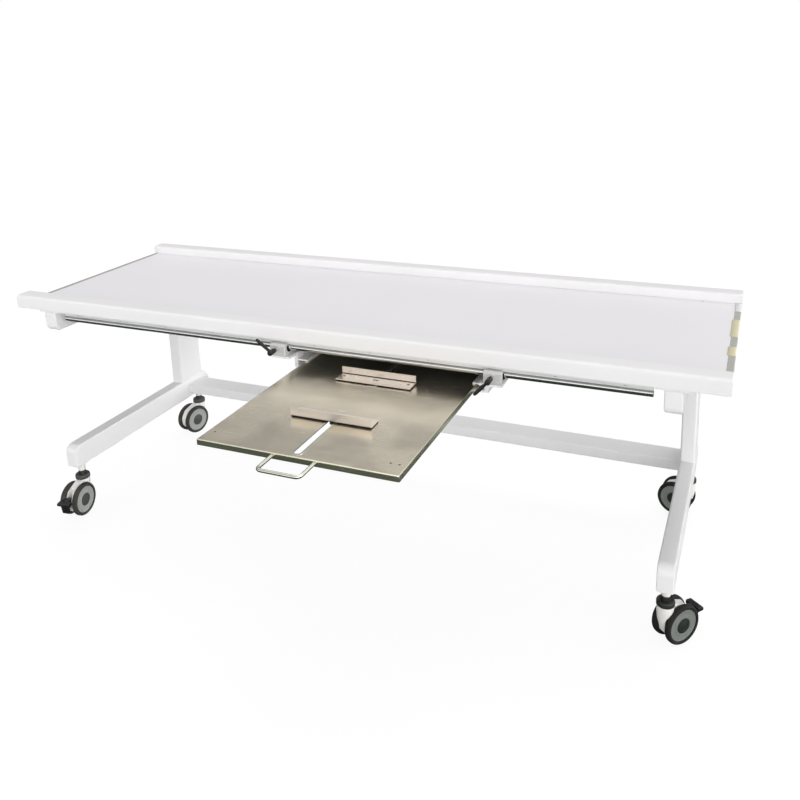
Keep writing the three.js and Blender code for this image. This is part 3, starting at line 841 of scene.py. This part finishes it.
class Bench:
    """Turns shells into pieces of the table and dresses the carried-over nodes."""

    SHARP = math.radians(38)
    DOUBLES = 2e-6
    LOOSE = 1e-5

    def __init__(self, frame: Mapping[str, object]) -> None:
        """Keeps the loaded frame and its joints by name.

        Args:
            frame: what the frame's loading gave.
        """
        self.frame = frame
        self.joints = {joint["name"]: joint for joint in frame["joints"]}
        self.shading = self.shading_group()

    def piece(
        self,
        name: str,
        shells: Union[Shell, Sequence[Shell]],
        look: Look,
        body: str,
        slot: str,
        replaces: Sequence[str] = (),
    ) -> bpy.types.Object:
        """Makes one piece.

        Args:
            name: the piece's name.
            shells: its shell or shells.
            look: its finish.
            body: the body that it rides on.
            slot: the record's material slot; not used.
            replaces: nodes that it stands for.

        Returns:
            The piece, with doubles merged and faces turned outwards.
        """
        shell = shells if isinstance(shells, Shell) else Shell.joined(shells)
        mesh = shell.mesh(name)
        work = bmesh.new()
        work.from_mesh(mesh)
        bmesh.ops.remove_doubles(work, verts=work.verts, dist=self.DOUBLES)
        bmesh.ops.recalc_face_normals(work, faces=work.faces)
        work.to_mesh(mesh)
        work.free()
        mesh.shade_smooth()
        mesh.set_sharp_from_angle(angle=self.SHARP)
        mesh.materials.append(look.material())
        made = placed(name, mesh)
        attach(made, body)
        if replaces:
            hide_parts(*replaces)
        log.info("%s: %d faces, rides on %s", name, len(mesh.polygons), body)
        return made

    def shading_group(self) -> bpy.types.NodeTree:
        """Makes the geometry nodes that join a node's loose triangles and smooth it up to its sharp edges.

        Returns:
            The node group.
        """
        group = bpy.data.node_groups.new("even_shading", "GeometryNodeTree")
        for way in ("INPUT", "OUTPUT"):
            group.interface.new_socket("Geometry", in_out=way, socket_type="NodeSocketGeometry")
        graph = NodeGraph(group)
        entry = graph.node("NodeGroupInput")
        bare = graph.node("GeometryNodeRemoveAttribute", {}, {"Geometry": entry, "Name": "custom_normal"})
        welded = graph.node("GeometryNodeMergeByDistance", {}, {"Geometry": bare, "Distance": self.LOOSE})
        smooth = graph.node("GeometryNodeSetShadeSmooth", {"domain": "FACE"}, {0: welded, 2: True})
        angle = graph.node("GeometryNodeInputMeshEdgeAngle")
        sharp = graph.node("FunctionNodeCompare", {"operation": "GREATER_THAN"}, {0: angle, 1: self.SHARP})
        edged = graph.node("GeometryNodeSetShadeSmooth", {"domain": "EDGE"}, {0: smooth, 1: sharp, 2: False})
        graph.node("NodeGroupOutput", {}, {0: edged})
        return group

    def dress_nodes(self) -> None:
        """Gives every carried-over node its finish and even shading."""
        for subpart in self.frame["record"]["subparts"]:
            node = self.frame["nodes"][subpart["node"]]
            look = NODE_LOOKS.get(subpart["node"], SLOT_LOOKS[subpart["material_slot"]])
            node.material_slots[0].material = look.material()
            shading = node.modifiers.new("even_shading", "NODES")
            shading.node_group = self.shading
            weighted = node.modifiers.new("weighted_normal", "WEIGHTED_NORMAL")
            weighted.mode = "FACE_AREA"
            weighted.keep_sharp = True
        log.info("dressed %d nodes", len(self.frame["nodes"]))


@dataclass
class Assembly:
    """A sub-assembly of the table, which makes its pieces on a bench."""

    bench: Bench

    def build(self) -> None:
        """Makes the sub-assembly's pieces."""
        raise NotImplementedError


@dataclass(frozen=True)
class StripCover:
    """A thin cover over the right end strip, placed along Y from the board's middle.

    Its outer side stands proud of the strip, and it laps over the board.
    """

    name: str
    near: float
    far: float
    proud: float
    lap: float
    thick: float
    look: Look
    slot: str


@dataclass
class TableTop(Assembly):
    """The board, rails and end strips: end caps, corner plate, blank tapes and board screws."""

    rail_wide: float = 0.052
    cap_thick: float = 0.0014
    cap_inset: float = 0.0012
    cap_round: float = 0.004
    cap_edge: float = 0.0006
    strip_wrap: float = 0.005
    strip_bend: float = 0.002
    ripple: float = 0.00012
    ripple_rate: float = 310.0
    screw_reach: float = 0.898
    screw_depth: float = 0.2785
    covers: tuple[StripCover, ...] = (
        StripCover("tape_1", 0.0076, 0.1414, 0.0003, 0.0035, 0.00025, Look.TAPE, "panel_board"),
        StripCover("tape_2", -0.1256, -0.0645, 0.0003, 0.0035, 0.00025, Look.TAPE, "panel_board"),
        StripCover("corner_plate", 0.21, 0.2842, 0.0012, -0.0004, 0.001, Look.WHITE_PAINT, "white_paint"),
    )

    def build(self) -> None:
        """Makes the top's pieces."""
        self.rail_caps()
        self.strip_covers()
        top = box("panel")[1][2]
        origins = spots([self.screw_reach], either(middle("panel")[1], self.screw_depth), [top])
        self.bench.piece("board_screws", Fastener.RIVET.row(origins, Z), Look.ZINC, "frame", "stem_steel")

    def rail_caps(self) -> None:
        """Closes both ends of each rail with a thin cap of the rail's own outline."""
        for name, side in (("front", -1), ("back", 1)):
            low, high = box(f"rail_{name}")
            outer = low[1] if side < 0 else high[1]
            centre = np.array([0.0, outer - side * self.rail_wide / 2, (low[2] + high[2]) / 2])
            height = high[2] - low[2] - 2 * self.cap_inset
            outline = rounded_outline(self.rail_wide - 2 * self.cap_inset, height, self.cap_round)
            shells = []
            for end in (low[0], high[0]):
                facing = math.copysign(1.0, end)
                place = Place(centre + end * X, facing * X, facing * Y)
                shells.append(plate(outline, place, self.cap_thick, self.cap_edge))
            self.bench.piece(f"rail_caps_{name}", shells, Look.WHITE_PAINT, "frame", "white_paint")

    def strip_covers(self) -> None:
        """Lays the covers over the right end strip, each thickened inwards from its outer side."""
        for cover in self.covers:
            sheet = self.bench.piece(cover.name, self.wrapped(cover), cover.look, "frame", cover.slot)
            wall = sheet.modifiers.new("thickness", "SOLIDIFY")
            wall.thickness = cover.thick
            wall.offset = -1.0

    def wrapped(self, cover: StripCover) -> Shell:
        """Carries a line over the strip's top and down its outer face, along Y.

        The line is lifted by the size of a sine of the place along Y, and by less and less towards its end.

        Args:
            cover: the cover.

        Returns:
            An open sheet, which lies as tape does.
        """
        low, high = box("end_strip_right")
        start = middle("panel")[1]
        corners = (
            (low[0] - cover.lap, high[2] + cover.proud),
            (high[0] + cover.proud, high[2] + cover.proud),
            (high[0] + cover.proud, high[2] - self.strip_wrap),
        )
        line = eased(corners, self.strip_bend, 6)
        along = np.linspace(start + cover.near, start + cover.far, 24)[:, None]
        fade = np.linspace(1.0, 0.0, len(line))[None]
        lift = self.ripple * np.abs(np.sin(along * self.ripple_rate)) * fade
        across = np.broadcast_to(line[None, :, 0], lift.shape)
        depth = np.broadcast_to(along, lift.shape)
        return Shell.grid(np.stack([across, depth, line[None, :, 1] + lift], axis=-1))


@dataclass
class LegFrames(Assembly):
    """Plates, arms, columns, feet and stretcher: bolts and painted weld beads."""

    bolt_off: float = 0.030
    bolt_depth: float = 0.311
    weld: float = 0.0024
    weld_half: float = 0.0145
    beam_weld: float = 0.00192
    beam_round: float = 0.005

    def build(self) -> None:
        """Makes the leg frames' pieces."""
        for side in ("left", "right"):
            under = box(f"mount_plate_{side}")[0][2]
            centre = middle(f"mount_plate_{side}")
            across = either(centre[0], self.bolt_off)
            depth = either(centre[1], self.bolt_depth)
            bolts = Fastener.HEX_BOLT.row(spots(across, depth, [under]), -Z)
            self.bench.piece(f"plate_bolts_{side}", bolts, Look.ZINC, "frame", "stem_steel")
            welds = self.column_welds(side)
            self.bench.piece(f"column_welds_{side}", welds, Look.WHITE_PAINT, "frame", "white_paint")
        ends = [self.beam_end(end) for end in (0, 1)]
        self.bench.piece("stretcher_welds", ends, Look.WHITE_PAINT, "frame", "white_paint")

    def column_welds(self, side: str) -> list[Shell]:
        """Lays a bead along the front and back of a column, at its foot and its head.

        Args:
            side: left or right.

        Returns:
            The four beads.
        """
        low, high = box(f"column_{side}")
        starts = spots([(low[0] + high[0]) / 2], [low[1], high[1]], [low[2], high[2]])
        reach = self.weld_half * X
        return [bead(start, reach, self.weld, blunt=6, steps=15, segments=12) for start in starts]

    def beam_end(self, end: int) -> Shell:
        """Lays a bead round one end of the stretcher.

        The stretcher's outline is walked once; each point carries a circle spanned by the outline's outward
        direction and X.

        Args:
            end: 0 for the left end and 1 for the right.

        Returns:
            The closed bead.
        """
        low, high = box("stretcher")
        centre = (low + high) / 2
        outline = rounded_outline(high[1] - low[1], high[2] - low[2], self.beam_round)
        step = np.roll(outline, -1, axis=0) - np.roll(outline, 1, axis=0)
        outward = np.stack([step[:, 1], -step[:, 0]], axis=-1)
        outward /= np.linalg.norm(outward, axis=1, keepdims=True)
        angle = around(10)
        flat = outline[:, None] + self.beam_weld * np.cos(angle)[None, :, None] * outward[:, None]
        along = np.broadcast_to((low, high)[end][0] + self.beam_weld * np.sin(angle), flat.shape[:2])
        surface = np.stack([along, flat[..., 0] + centre[1], flat[..., 1] + centre[2]], axis=-1)
        return Shell.grid(surface, loop_rows=True, loop_columns=True)


@dataclass
class Guides(Assembly):
    """The two guides: screws through the supports' flanges."""

    flange: float = 0.005
    screw_off: float = 0.0145
    screw_reach: float = 0.78
    screws: int = 11

    def build(self) -> None:
        """Makes the guides' screws."""
        for name in ("front", "back"):
            under = box(f"guide_support_{name}")[1][2] - self.flange
            along = np.linspace(-self.screw_reach, self.screw_reach, self.screws)
            depth = either(middle(f"guide_support_{name}")[1], self.screw_off)
            screws = Fastener.BUTTON.row(spots(along, depth, [under]), -Z)
            self.bench.piece(f"guide_screws_{name}", screws, Look.ZINC, "frame", "stem_steel")


@dataclass
class Carriage(Assembly):
    """The carriage: seals on the bearing blocks and screws under the hangers."""

    seal_inner: float = 0.0083
    seal_outer: float = 0.0132
    seal_thick: float = 0.0013
    seal_edge: float = 0.0008
    seal_gap: float = math.radians(56)
    screw_off: float = 0.0145
    shaft_rise: float = 0.02
    hanger_plate: float = 0.006

    def build(self) -> None:
        """Makes the carriage's pieces."""
        for side in ("left", "right"):
            under = box(f"carriage_side_{side}")[1][2] - self.hanger_plate
            seals = []
            holes = []
            for name in ("front", "back"):
                low, high = box(f"block_{name}_{side}")
                centre = (low + high) / 2
                for end, way in ((low[0], -1), (high[0], 1)):
                    seals.append(self.seal(np.array([end, centre[1], low[2] + self.shaft_rise]), way))
                across = either(centre[0], self.screw_off)
                depth = either(centre[1], self.screw_off)
                holes.append(spots(across, depth, [under]))
            self.bench.piece(f"block_seals_{side}", seals, Look.SEAL, "carriage", "tyre_rubber")
            screws = Fastener.BUTTON.row(np.concatenate(holes), -Z)
            self.bench.piece(f"hanger_screws_{side}", screws, Look.ZINC, "carriage", "stem_steel")

    def seal(self, origin: np.ndarray, way: int) -> Shell:
        """Makes an open seal round the shaft.

        A flat section from the inner to the outer radius is carried round the shaft's axis, from one side of
        the slot at the top to the other.

        Args:
            origin: the shaft's middle on the block's end face.
            way: 1 where the end faces +X and -1 where it faces -X.

        Returns:
            The closed seal.
        """
        angle = math.pi / 2 + np.linspace(self.seal_gap, 2 * math.pi - self.seal_gap, 40)[:, None]
        inner, outer = self.seal_inner, self.seal_outer
        radius = np.array([inner, outer, outer - self.seal_edge, inner])
        section = np.array([0.0, 0.0, self.seal_thick, self.seal_thick])
        along = np.broadcast_to(section, (len(angle), len(section)))
        place = Place(origin, way * X, Y)
        return Shell.stack(place.points(along, radius * np.cos(angle), way * radius * np.sin(angle)))


@dataclass
class Levers(Assembly):
    """The two clamp levers: a moulded grip with a boss and an arm, a zinc sleeve and a screw."""

    angles: tuple[tuple[str, float], ...] = (("left", 143.5), ("right", 227.0))
    arm_from_front: float = 0.009
    screw_sunk: float = 0.0006
    boss: Turning = Turning(
        (
            (0, 0.6), (4.6, 0.6), (5, 0), (5.8, 0), (7, 1.6), (7.1, 12), (6.8, 21), (5.8, 24), (5.6, 27),
            (0, 27),
        ),
        cut=0.6,
        segments=40,
    )
    arm: Turning = Turning(
        ((0, 0), (4.7, 0), (4, 12), (4.2, 22), (4.6, 34), (4.7, 45), (3.6, 51.2), (1.6, 52.9), (0, 53)),
        cut=6,
        steps=5,
        segments=32,
    )
    sleeve: Turning = Turning(
        ((0, 27), (5.2, 27), (5.2, 30), (4.5, 30.4), (4.5, 38.8), (0, 38.8)),
        cut=0.3,
        steps=2,
        segments=32,
    )

    def build(self) -> None:
        """Makes both levers; the boss, sleeve and screw stand along Y and the arm along its own direction."""
        for side, degrees in self.angles:
            pivot = np.array(self.bench.joints[f"{side}_lever_turn"]["pos_m"])
            front = np.array([pivot[0], box(f"lever_{side}")[0][1], pivot[2]])
            place = Place(front, Y, X)
            angle = math.radians(degrees)
            way = np.array([math.cos(angle), 0.0, math.sin(angle)])
            arm = self.arm.shell(Place(front + self.arm_from_front * Y, way, Y))
            shells = [self.boss.shell(place), arm]
            body = f"{side}_lever"
            node = f"lever_{side}"
            self.bench.piece(f"grip_{side}", shells, Look.BLACK_PLASTIC, body, "black_plastic", [node])
            self.bench.piece(f"lever_sleeve_{side}", self.sleeve.shell(place), Look.ZINC, body, "stem_steel")
            screw = Fastener.BUTTON.shell(Place(front + self.screw_sunk * Y, -Y, X))
            self.bench.piece(f"lever_screw_{side}", screw, Look.BLACK_PLASTIC, body, "black_plastic")


@dataclass
class Tray(Assembly):
    """The drawn-out tray: bent handle, slot rims, hole plugs, and the clamps' rivets, a dark bead in each
    bend (painted shade) and dark glides (supports and painted shade).
    """

    rod: float = 0.004
    half: float = 0.0495
    reach: float = 0.0595
    bend: float = 0.013
    hole_across: tuple[float, ...] = (-0.219, 0.2, 0.219)
    hole_depth: float = 0.248
    slot_wide: float = 0.016
    slot_long: float = 0.188
    slot_depth: float = 0.183
    rim_wide: float = 0.0064
    rim_thick: float = 0.0005
    rim_clear: float = 0.0002
    rim_taper: float = 0.997
    clamp_sheet: float = 0.002
    rivet_across: tuple[float, ...] = (-0.0865, -0.004, 0.004, 0.0865)
    rivet_in: float = 0.018
    # Radius and inset of the dark bead in the clamp's bend, which is painted shade in the crease.
    crease_shade_radius: float = 0.0009
    crease_shade_off: float = 0.00254
    glide_thick: float = 0.0027
    glide_inset: float = 0.0008
    glide_clear: float = 0.015
    glide_round: float = 0.001
    glide_edge: float = 0.0003
    plug: Turning = Turning(
        ((0, -1.6), (2.4, -1.6), (2.4, -0.3), (1.8, -0.1), (0, -0.1)),
        cut=0.2,
        steps=2,
        segments=20,
    )

    def build(self) -> None:
        """Makes the tray's pieces."""
        low, high = box("tray")
        centre = (low + high) / 2
        handle = self.handle(np.array([centre[0], low[1], centre[2]]))
        self.bench.piece("bent_handle", handle, Look.HANDLE, "tray_unit", "stainless", ["tray_handle"])
        across = centre[0] + np.array(self.hole_across)
        holes = spots(across, either(centre[1], self.hole_depth), [high[2]])
        plugs = [self.plug.shell(upright(hole)) for hole in holes]
        self.bench.piece("hole_plugs", plugs, Look.BLACK_PLASTIC, "tray_unit", "black_plastic")
        slots = spots([centre[0]], either(centre[1], self.slot_depth), [high[2]])
        rims = [self.slot_rim(slot) for slot in slots]
        self.bench.piece("slot_rims", rims, Look.HANDLE, "tray_unit", "stainless")
        for name, way in (("front", 1), ("back", -1)):
            self.clamp(name, way)

    def handle(self, root: np.ndarray) -> Shell:
        """Bends a rod out from the tray's edge, across and back, in one plane.

        Args:
            root: the middle of the tray's front edge.

        Returns:
            The rod, with its two straight legs divided evenly.
        """
        front = -self.reach
        corners = ((-self.half, 0), (-self.half, front), (self.half, front), (self.half, 0))
        bent = eased(corners, self.bend, 14)
        leg = np.linspace(0.0, 1.0, 9)[:, None]
        out = bent[0] + leg[:-1] * (bent[1] - bent[0])
        home = bent[-2] + leg * (bent[-1] - bent[-2])
        line = np.concatenate([out, bent[1:-2], home])
        path = root + line[:, :1] * X + line[:, 1:] * Y
        return tube(path, np.full(len(path), self.rod), 28)

    def slot_rim(self, centre: np.ndarray) -> Shell:
        """Lays a thin rim round a slot: its outer outline and the slot's own, on the sheet and above it.

        Args:
            centre: the slot's middle on the sheet.

        Returns:
            The closed rim.
        """
        wide, long = self.slot_wide, self.slot_long
        around_slot = rounded_outline(wide + self.rim_clear, long + self.rim_clear, wide / 2)
        grown = 2 * self.rim_wide
        outside = rounded_outline(wide + grown, long + grown, wide / 2 + self.rim_wide)
        rings = np.stack([outside, outside * self.rim_taper, around_slot, around_slot])
        levels = np.array([0.0, self.rim_thick, self.rim_thick, 0.0])[:, None]
        heights = np.broadcast_to(levels, rings.shape[:2])
        surface = upright(centre).points(heights, rings[..., 0], rings[..., 1])
        return Shell.grid(surface, loop_rows=True, loop_columns=True)

    def clamp(self, name: str, way: int) -> None:
        """Gives a clamp flat rivets in its flange, a thin dark rubber bead in its bend, which is painted
        shade in the crease, and dark glides below, which hold it up and are painted shade in the gap under
        the flange.

        Args:
            name: front or back.
            way: 1 where the flange runs towards +Y from the upright plate and -1 where it runs towards -Y.
        """
        body = f"{name}_clamp"
        low, high = box(f"clamp_{name}")
        centre = (low + high) / 2
        upright_face = low[1] if way > 0 else high[1]
        across = centre[0] + np.array(self.rivet_across)
        origins = spots(across, [upright_face + way * self.rivet_in], [low[2] + self.clamp_sheet])
        rivets = Fastener.RIVET.row(origins, Z)
        self.bench.piece(f"clamp_rivets_{name}", rivets, Look.GEAR_STEEL, body, "gear_steel")
        # A dark bead along the bend: painted shade in the clamp's crease.
        along = np.linspace(low[0] + self.crease_shade_radius, high[0] - self.crease_shade_radius, 25)
        path = spots(along, [upright_face + way * self.crease_shade_off], [low[2] + self.crease_shade_off])
        rubber = tube(path, np.full(len(path), self.crease_shade_radius), 12)
        self.bench.piece(f"clamp_crease_shade_bead_{name}", rubber, Look.SEAL, body, "tyre_rubber")
        # Dark glides fill most of the gap under the flange: they hold the clamp up and are painted shade in
        # that gap.
        self.bench.piece(f"clamp_glides_and_gap_shade_{name}", self.glides(low, high), Look.SEAL, body, "tyre_rubber")

    def glides(self, low: np.ndarray, high: np.ndarray) -> list[Shell]:
        """Puts a strip under each half of a clamp's flange, in from its edges and clear of the slot.

        Args:
            low: the clamp's lowest corner.
            high: its highest corner.

        Returns:
            The two strips.
        """
        centre = (low + high) / 2
        wide = (high[0] - low[0]) / 2 - self.glide_inset - self.glide_clear
        outline = rounded_outline(wide, high[1] - low[1] - 2 * self.glide_inset, self.glide_round)
        origins = spots(either(centre[0], self.glide_clear + wide / 2), [centre[1]], [low[2]])
        return [plate(outline, Place(origin, -Z, X), self.glide_thick, self.glide_edge) for origin in origins]


@dataclass(frozen=True)
class CasterLooks:
    """The finishes of one caster's tyres, wheel bodies and dark caps."""

    tread: Look = Look.TREAD
    disc: Look = Look.HUB_GREY
    cap: Look = Look.CAP_DARK


# Lighter copies of the tread, wheel body and cap finishes for the left casters: painted light.
PAINTED_LIGHT_LOOKS = CasterLooks(Look.TREAD_PAINTED_LIGHT, Look.HUB_PAINTED_LIGHT, Look.CAP_PAINTED_LIGHT)


@dataclass
class Caster(Assembly):
    """One twin-wheel caster: stem, bearing cap, nut, collar, tyres, wheel bodies and their caps."""

    name: str
    braked: bool = False
    looks: CasterLooks = CasterLooks()
    rib: float = 0.0011
    rib_half: float = 0.0175
    rib_reaches: Triple = (0.0225, 0.0265, 0.0305)
    rib_rise: float = 0.01
    tread_fall: float = 1 / 9
    dish: Turning = Turning(
        (
            (8.2, 104.6), (20.4, 104.6), (21.8, 106), (21.8, 110.6), (21.2, 111), (21.2, 111.7),
            (21.8, 112.1), (21.8, 114.3), (20.6, 117.2), (18.7, 118.4), (17.6, 118), (16.8, 116.9),
            (15.8, 116.6), (15.3, 117.3), (13.9, 117.3), (13.4, 116.6), (8.2, 116.4), (8.2, 104.6),
        ),
        cut=0.8,
        steps=4,
        segments=64,
    )
    nut: Pairs = ((8.2, 116.8), (11.2, 116.8), (11.2, 128.8), (10.2, 129.7), (8.2, 129.7), (8.2, 116.8))
    nut_flats: tuple[int, ...] = (0, 1, 1, 1, 0, 0)
    tyre: Turning = Turning(
        (
            (40.7, -7.3), (44.5, -8.5), (46.2, -8.5), (49.4, -5.2), (50, -3), (50, 3), (49.4, 5.2),
            (47.2, 7.5), (46.2, 8.5), (44.5, 8.5), (43.2, 7.8), (40.7, 7.3), (40.7, -7.3),
        ),
        cut=1.6,
        steps=4,
        segments=96,
    )
    disc: Turning = Turning(
        (
            (4.2, -6), (40.4, -6), (40.4, 5.6), (38.4, 6.4), (36.6, 6.4), (35.8, 5.6), (26.2, 5.2),
            (25.6, 5.8), (23.8, 5.8), (23.2, 5.2), (20.6, 5.6), (20, 6.2), (4.2, 6.2), (4.2, -6),
        ),
        cut=0.6,
        segments=96,
    )
    cap: Turning = Turning(
        (
            (0, 5.8), (19.6, 5.8), (19.6, 6.8), (18.6, 7.4), (12.2, 7.9), (11.8, 7.6), (11.2, 7.6),
            (10.6, 8), (0, 8.1),
        ),
        cut=0.5,
        segments=64,
    )

    def build(self) -> None:
        """Makes the caster's pieces."""
        self.stem()
        for which, side in (("a", -1), ("b", 1)):
            joint = self.bench.joints[f"spin_{self.name}_{which}"]
            axle = side * np.array(joint["axis"])
            self.roller(f"{self.name}_{which}", Place(np.array(joint["pos_m"]), axle, Z))
        if self.braked:
            self.pedal_ribs()

    def stem(self) -> None:
        """Turns the stud, the dished bearing cap, the nut in it and the white collar under the foot tube."""
        pivot = self.bench.joints[f"swivel_{self.name}"]["pos_m"]
        place = upright((pivot[0], pivot[1], 0.0))
        node = f"stem_{self.name}"
        top = box(node)[1][2] / MM
        stud = Turning(((0, 80.2), (4.5, 80.2), (5, 80.8), (5, 104), (8, 106), (8, top), (0, top)), cut=0.6)
        self.bench.piece(f"stud_{self.name}", stud.shell(place), Look.ZINC, "frame", "stem_steel", [node])
        dish = self.dish.shell(place)
        self.bench.piece(f"bearing_cap_{self.name}", dish, self.looks.cap, "frame", "black_plastic")
        nut = turned(np.array(self.nut) * MM, place, 48, self.nut_flats)
        self.bench.piece(f"stem_nut_{self.name}", nut, Look.GEAR_STEEL, "frame", "stem_steel")
        end = top - 0.2
        rings = ((8.2, 130.6), (11, 130.6), (11, 145.5), (12, 147.2), (12, end), (8.2, end), (8.2, 130.6))
        collar = Turning(rings, cut=0.9, steps=4).shell(place)
        self.bench.piece(f"collar_{self.name}", collar, Look.CASTER_WHITE, "frame", "caster_white")

    def roller(self, label: str, place: Place) -> None:
        """Turns one wheel: tyre, wheel body and dark cap; heights run outwards along the axle.

        Args:
            label: the wheel's name.
            place: the wheel's middle and the way outwards along its axle.
        """
        body = f"wheel_{label}"
        tyre, disc, cap = (form.shell(place) for form in (self.tyre, self.disc, self.cap))
        self.bench.piece(f"tread_{label}", tyre, self.looks.tread, body, "tyre_rubber", [f"tyre_{label}"])
        self.bench.piece(f"disc_{label}", disc, self.looks.disc, body, "hub_grey", [f"hub_{label}"])
        self.bench.piece(f"wheel_cap_{label}", cap, self.looks.cap, body, "black_plastic")

    def pedal_ribs(self) -> None:
        """Sets grip ribs across the pedal's tread, each a little lower than the one nearer the pivot."""
        joint = self.bench.joints[f"brake_{self.name}_press"]
        pivot = np.array(joint["pos_m"])
        sideways = np.array(joint["axis"])
        ahead = np.cross(sideways, Z)
        ribs = []
        for reach in self.rib_reaches:
            centre = pivot + reach * ahead + (self.rib_rise - reach * self.tread_fall) * Z
            ribs.append(bead(centre, self.rib_half * sideways, self.rib, blunt=8, steps=13, segments=10))
        body = f"brake_{self.name}"
        self.bench.piece(f"pedal_ribs_{self.name}", ribs, Look.BLACK_PLASTIC, body, "black_plastic")


@dataclass
class Studio:
    """Pale floor, soft light and the camera."""

    camera_at: Triple = (1.033924, -1.863674, 1.421169)
    camera_turn: Triple = (76.32715, 1.59377, 22.33245)
    sensor: float = 36.0
    lens: float = 37.974
    shift: tuple[float, float] = (-0.02156, -0.19875)
    view_end: float = 200.0
    floor_half: float = 60.0
    paper: tuple[float, float] = (0.9, 0.93)
    glow: float = 1.05
    glow_share: float = 0.86
    bounce: float = 0.62
    mirrored: Triple = (0.06, 0.08, 0.06)
    room: float = 0.13
    ceiling: float = 0.66
    rear: float = 5.0
    front: float = 2.4
    right: float = 5.9

    def build(self) -> None:
        """Sets up the studio."""
        self.camera()
        self.floor()
        self.sky()
        view = bpy.context.scene.view_settings
        view.view_transform = "Standard"
        view.look = "None"

    def camera(self) -> None:
        """Sets the camera to the photograph's viewpoint."""
        data = bpy.data.cameras.new("viewpoint")
        data.sensor_width = self.sensor
        data.lens = self.lens
        data.shift_x, data.shift_y = self.shift
        data.clip_end = self.view_end
        camera = placed("viewpoint", data)
        camera.location = self.camera_at
        camera.rotation_euler = [math.radians(degrees) for degrees in self.camera_turn]
        bpy.context.scene.camera = camera

    def floor(self) -> None:
        """Lays a flat pale floor, which glows where it is seen, lights the table softly and mirrors dark."""
        side = np.linspace(-self.floor_half, self.floor_half, 9)
        shell = Shell.grid(spots(side, side, [0.0]).reshape(len(side), len(side), 3))
        mesh = shell.mesh("pale_floor")
        graph = MaterialGraph("pale_floor")
        dim, bright = self.paper
        cloud = graph.blend(graph.noise(graph.point(), 0.8), (dim,) * 3, (bright,) * 3)
        paper = graph.node("ShaderNodeBsdfDiffuse", {}, {"Color": cloud})
        glow = graph.node("ShaderNodeEmission", {}, {"Color": WHITE, "Strength": self.glow})
        pale = graph.node("ShaderNodeMixShader", {}, {0: self.glow_share, 1: paper, 2: glow})
        spread = graph.node("ShaderNodeLightPath", output="Is Diffuse Ray")
        tone = graph.blend(spread, self.mirrored, (self.bounce,) * 3)
        dull = graph.node("ShaderNodeBsdfDiffuse", {}, {"Color": tone})
        graph.node("ShaderNodeOutputMaterial", {}, {"Surface": graph.by_view(dull, pale)})
        mesh.materials.append(graph.material)
        floor = placed("pale_floor", mesh)

    def sky(self) -> None:
        """Surrounds the table with soft light.

        A way's height h lies between 0 and 1. The ceiling's light grows with h^2, a light high behind the
        table with h^4, and the pale front wall and the bright right one fade with (1-h)^2 and (1-h)^3.
        """
        world = bpy.data.worlds.new("soft_studio")
        world.use_nodes = True
        bpy.context.scene.world = world
        graph = NodeGraph(world.node_tree)
        way = graph.node("ShaderNodeTexCoord", output="Generated")
        high = graph.part(way, "Z").at_least(0.0)
        level = 1.0 - high
        front = (graph.part(way, "Y") * -1.0).at_least(0.0)
        right = graph.part(way, "X").at_least(0.0)
        rear = graph.part(way, "Y").at_least(0.0)
        walls = level * level * (front * self.front + right * level * self.right)
        steep = high * high
        strength = self.room + steep * (self.ceiling + steep * rear * self.rear) + walls
        light = graph.node("ShaderNodeBackground", {}, {"Color": WHITE, "Strength": strength})
        backdrop = graph.node("ShaderNodeBackground", {}, {"Color": WHITE, "Strength": 1.0})
        graph.node("ShaderNodeOutputWorld", {}, {"Surface": graph.by_view(light, backdrop)})


def main() -> None:
    """Loads the frame, builds each sub-assembly in order and sets up the studio."""
    logging.basicConfig(level=logging.INFO, format="%(name)s: %(message)s")
    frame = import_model()
    bench = Bench(frame)
    bench.dress_nodes()
    casters = [
        # The left casters take the lighter copies of the wheel finishes: painted light.
        Caster(bench, "front_left", True, PAINTED_LIGHT_LOOKS),
        Caster(bench, "front_right", True),
        Caster(bench, "back_left", looks=PAINTED_LIGHT_LOOKS),
        Caster(bench, "back_right"),
    ]
    top_down = (TableTop, LegFrames, Guides, Carriage, Levers, Tray)
    for assembly in [*(kind(bench) for kind in top_down), *casters]:
        assembly.build()
    Studio().build()


if __name__ == "__main__":
    main()
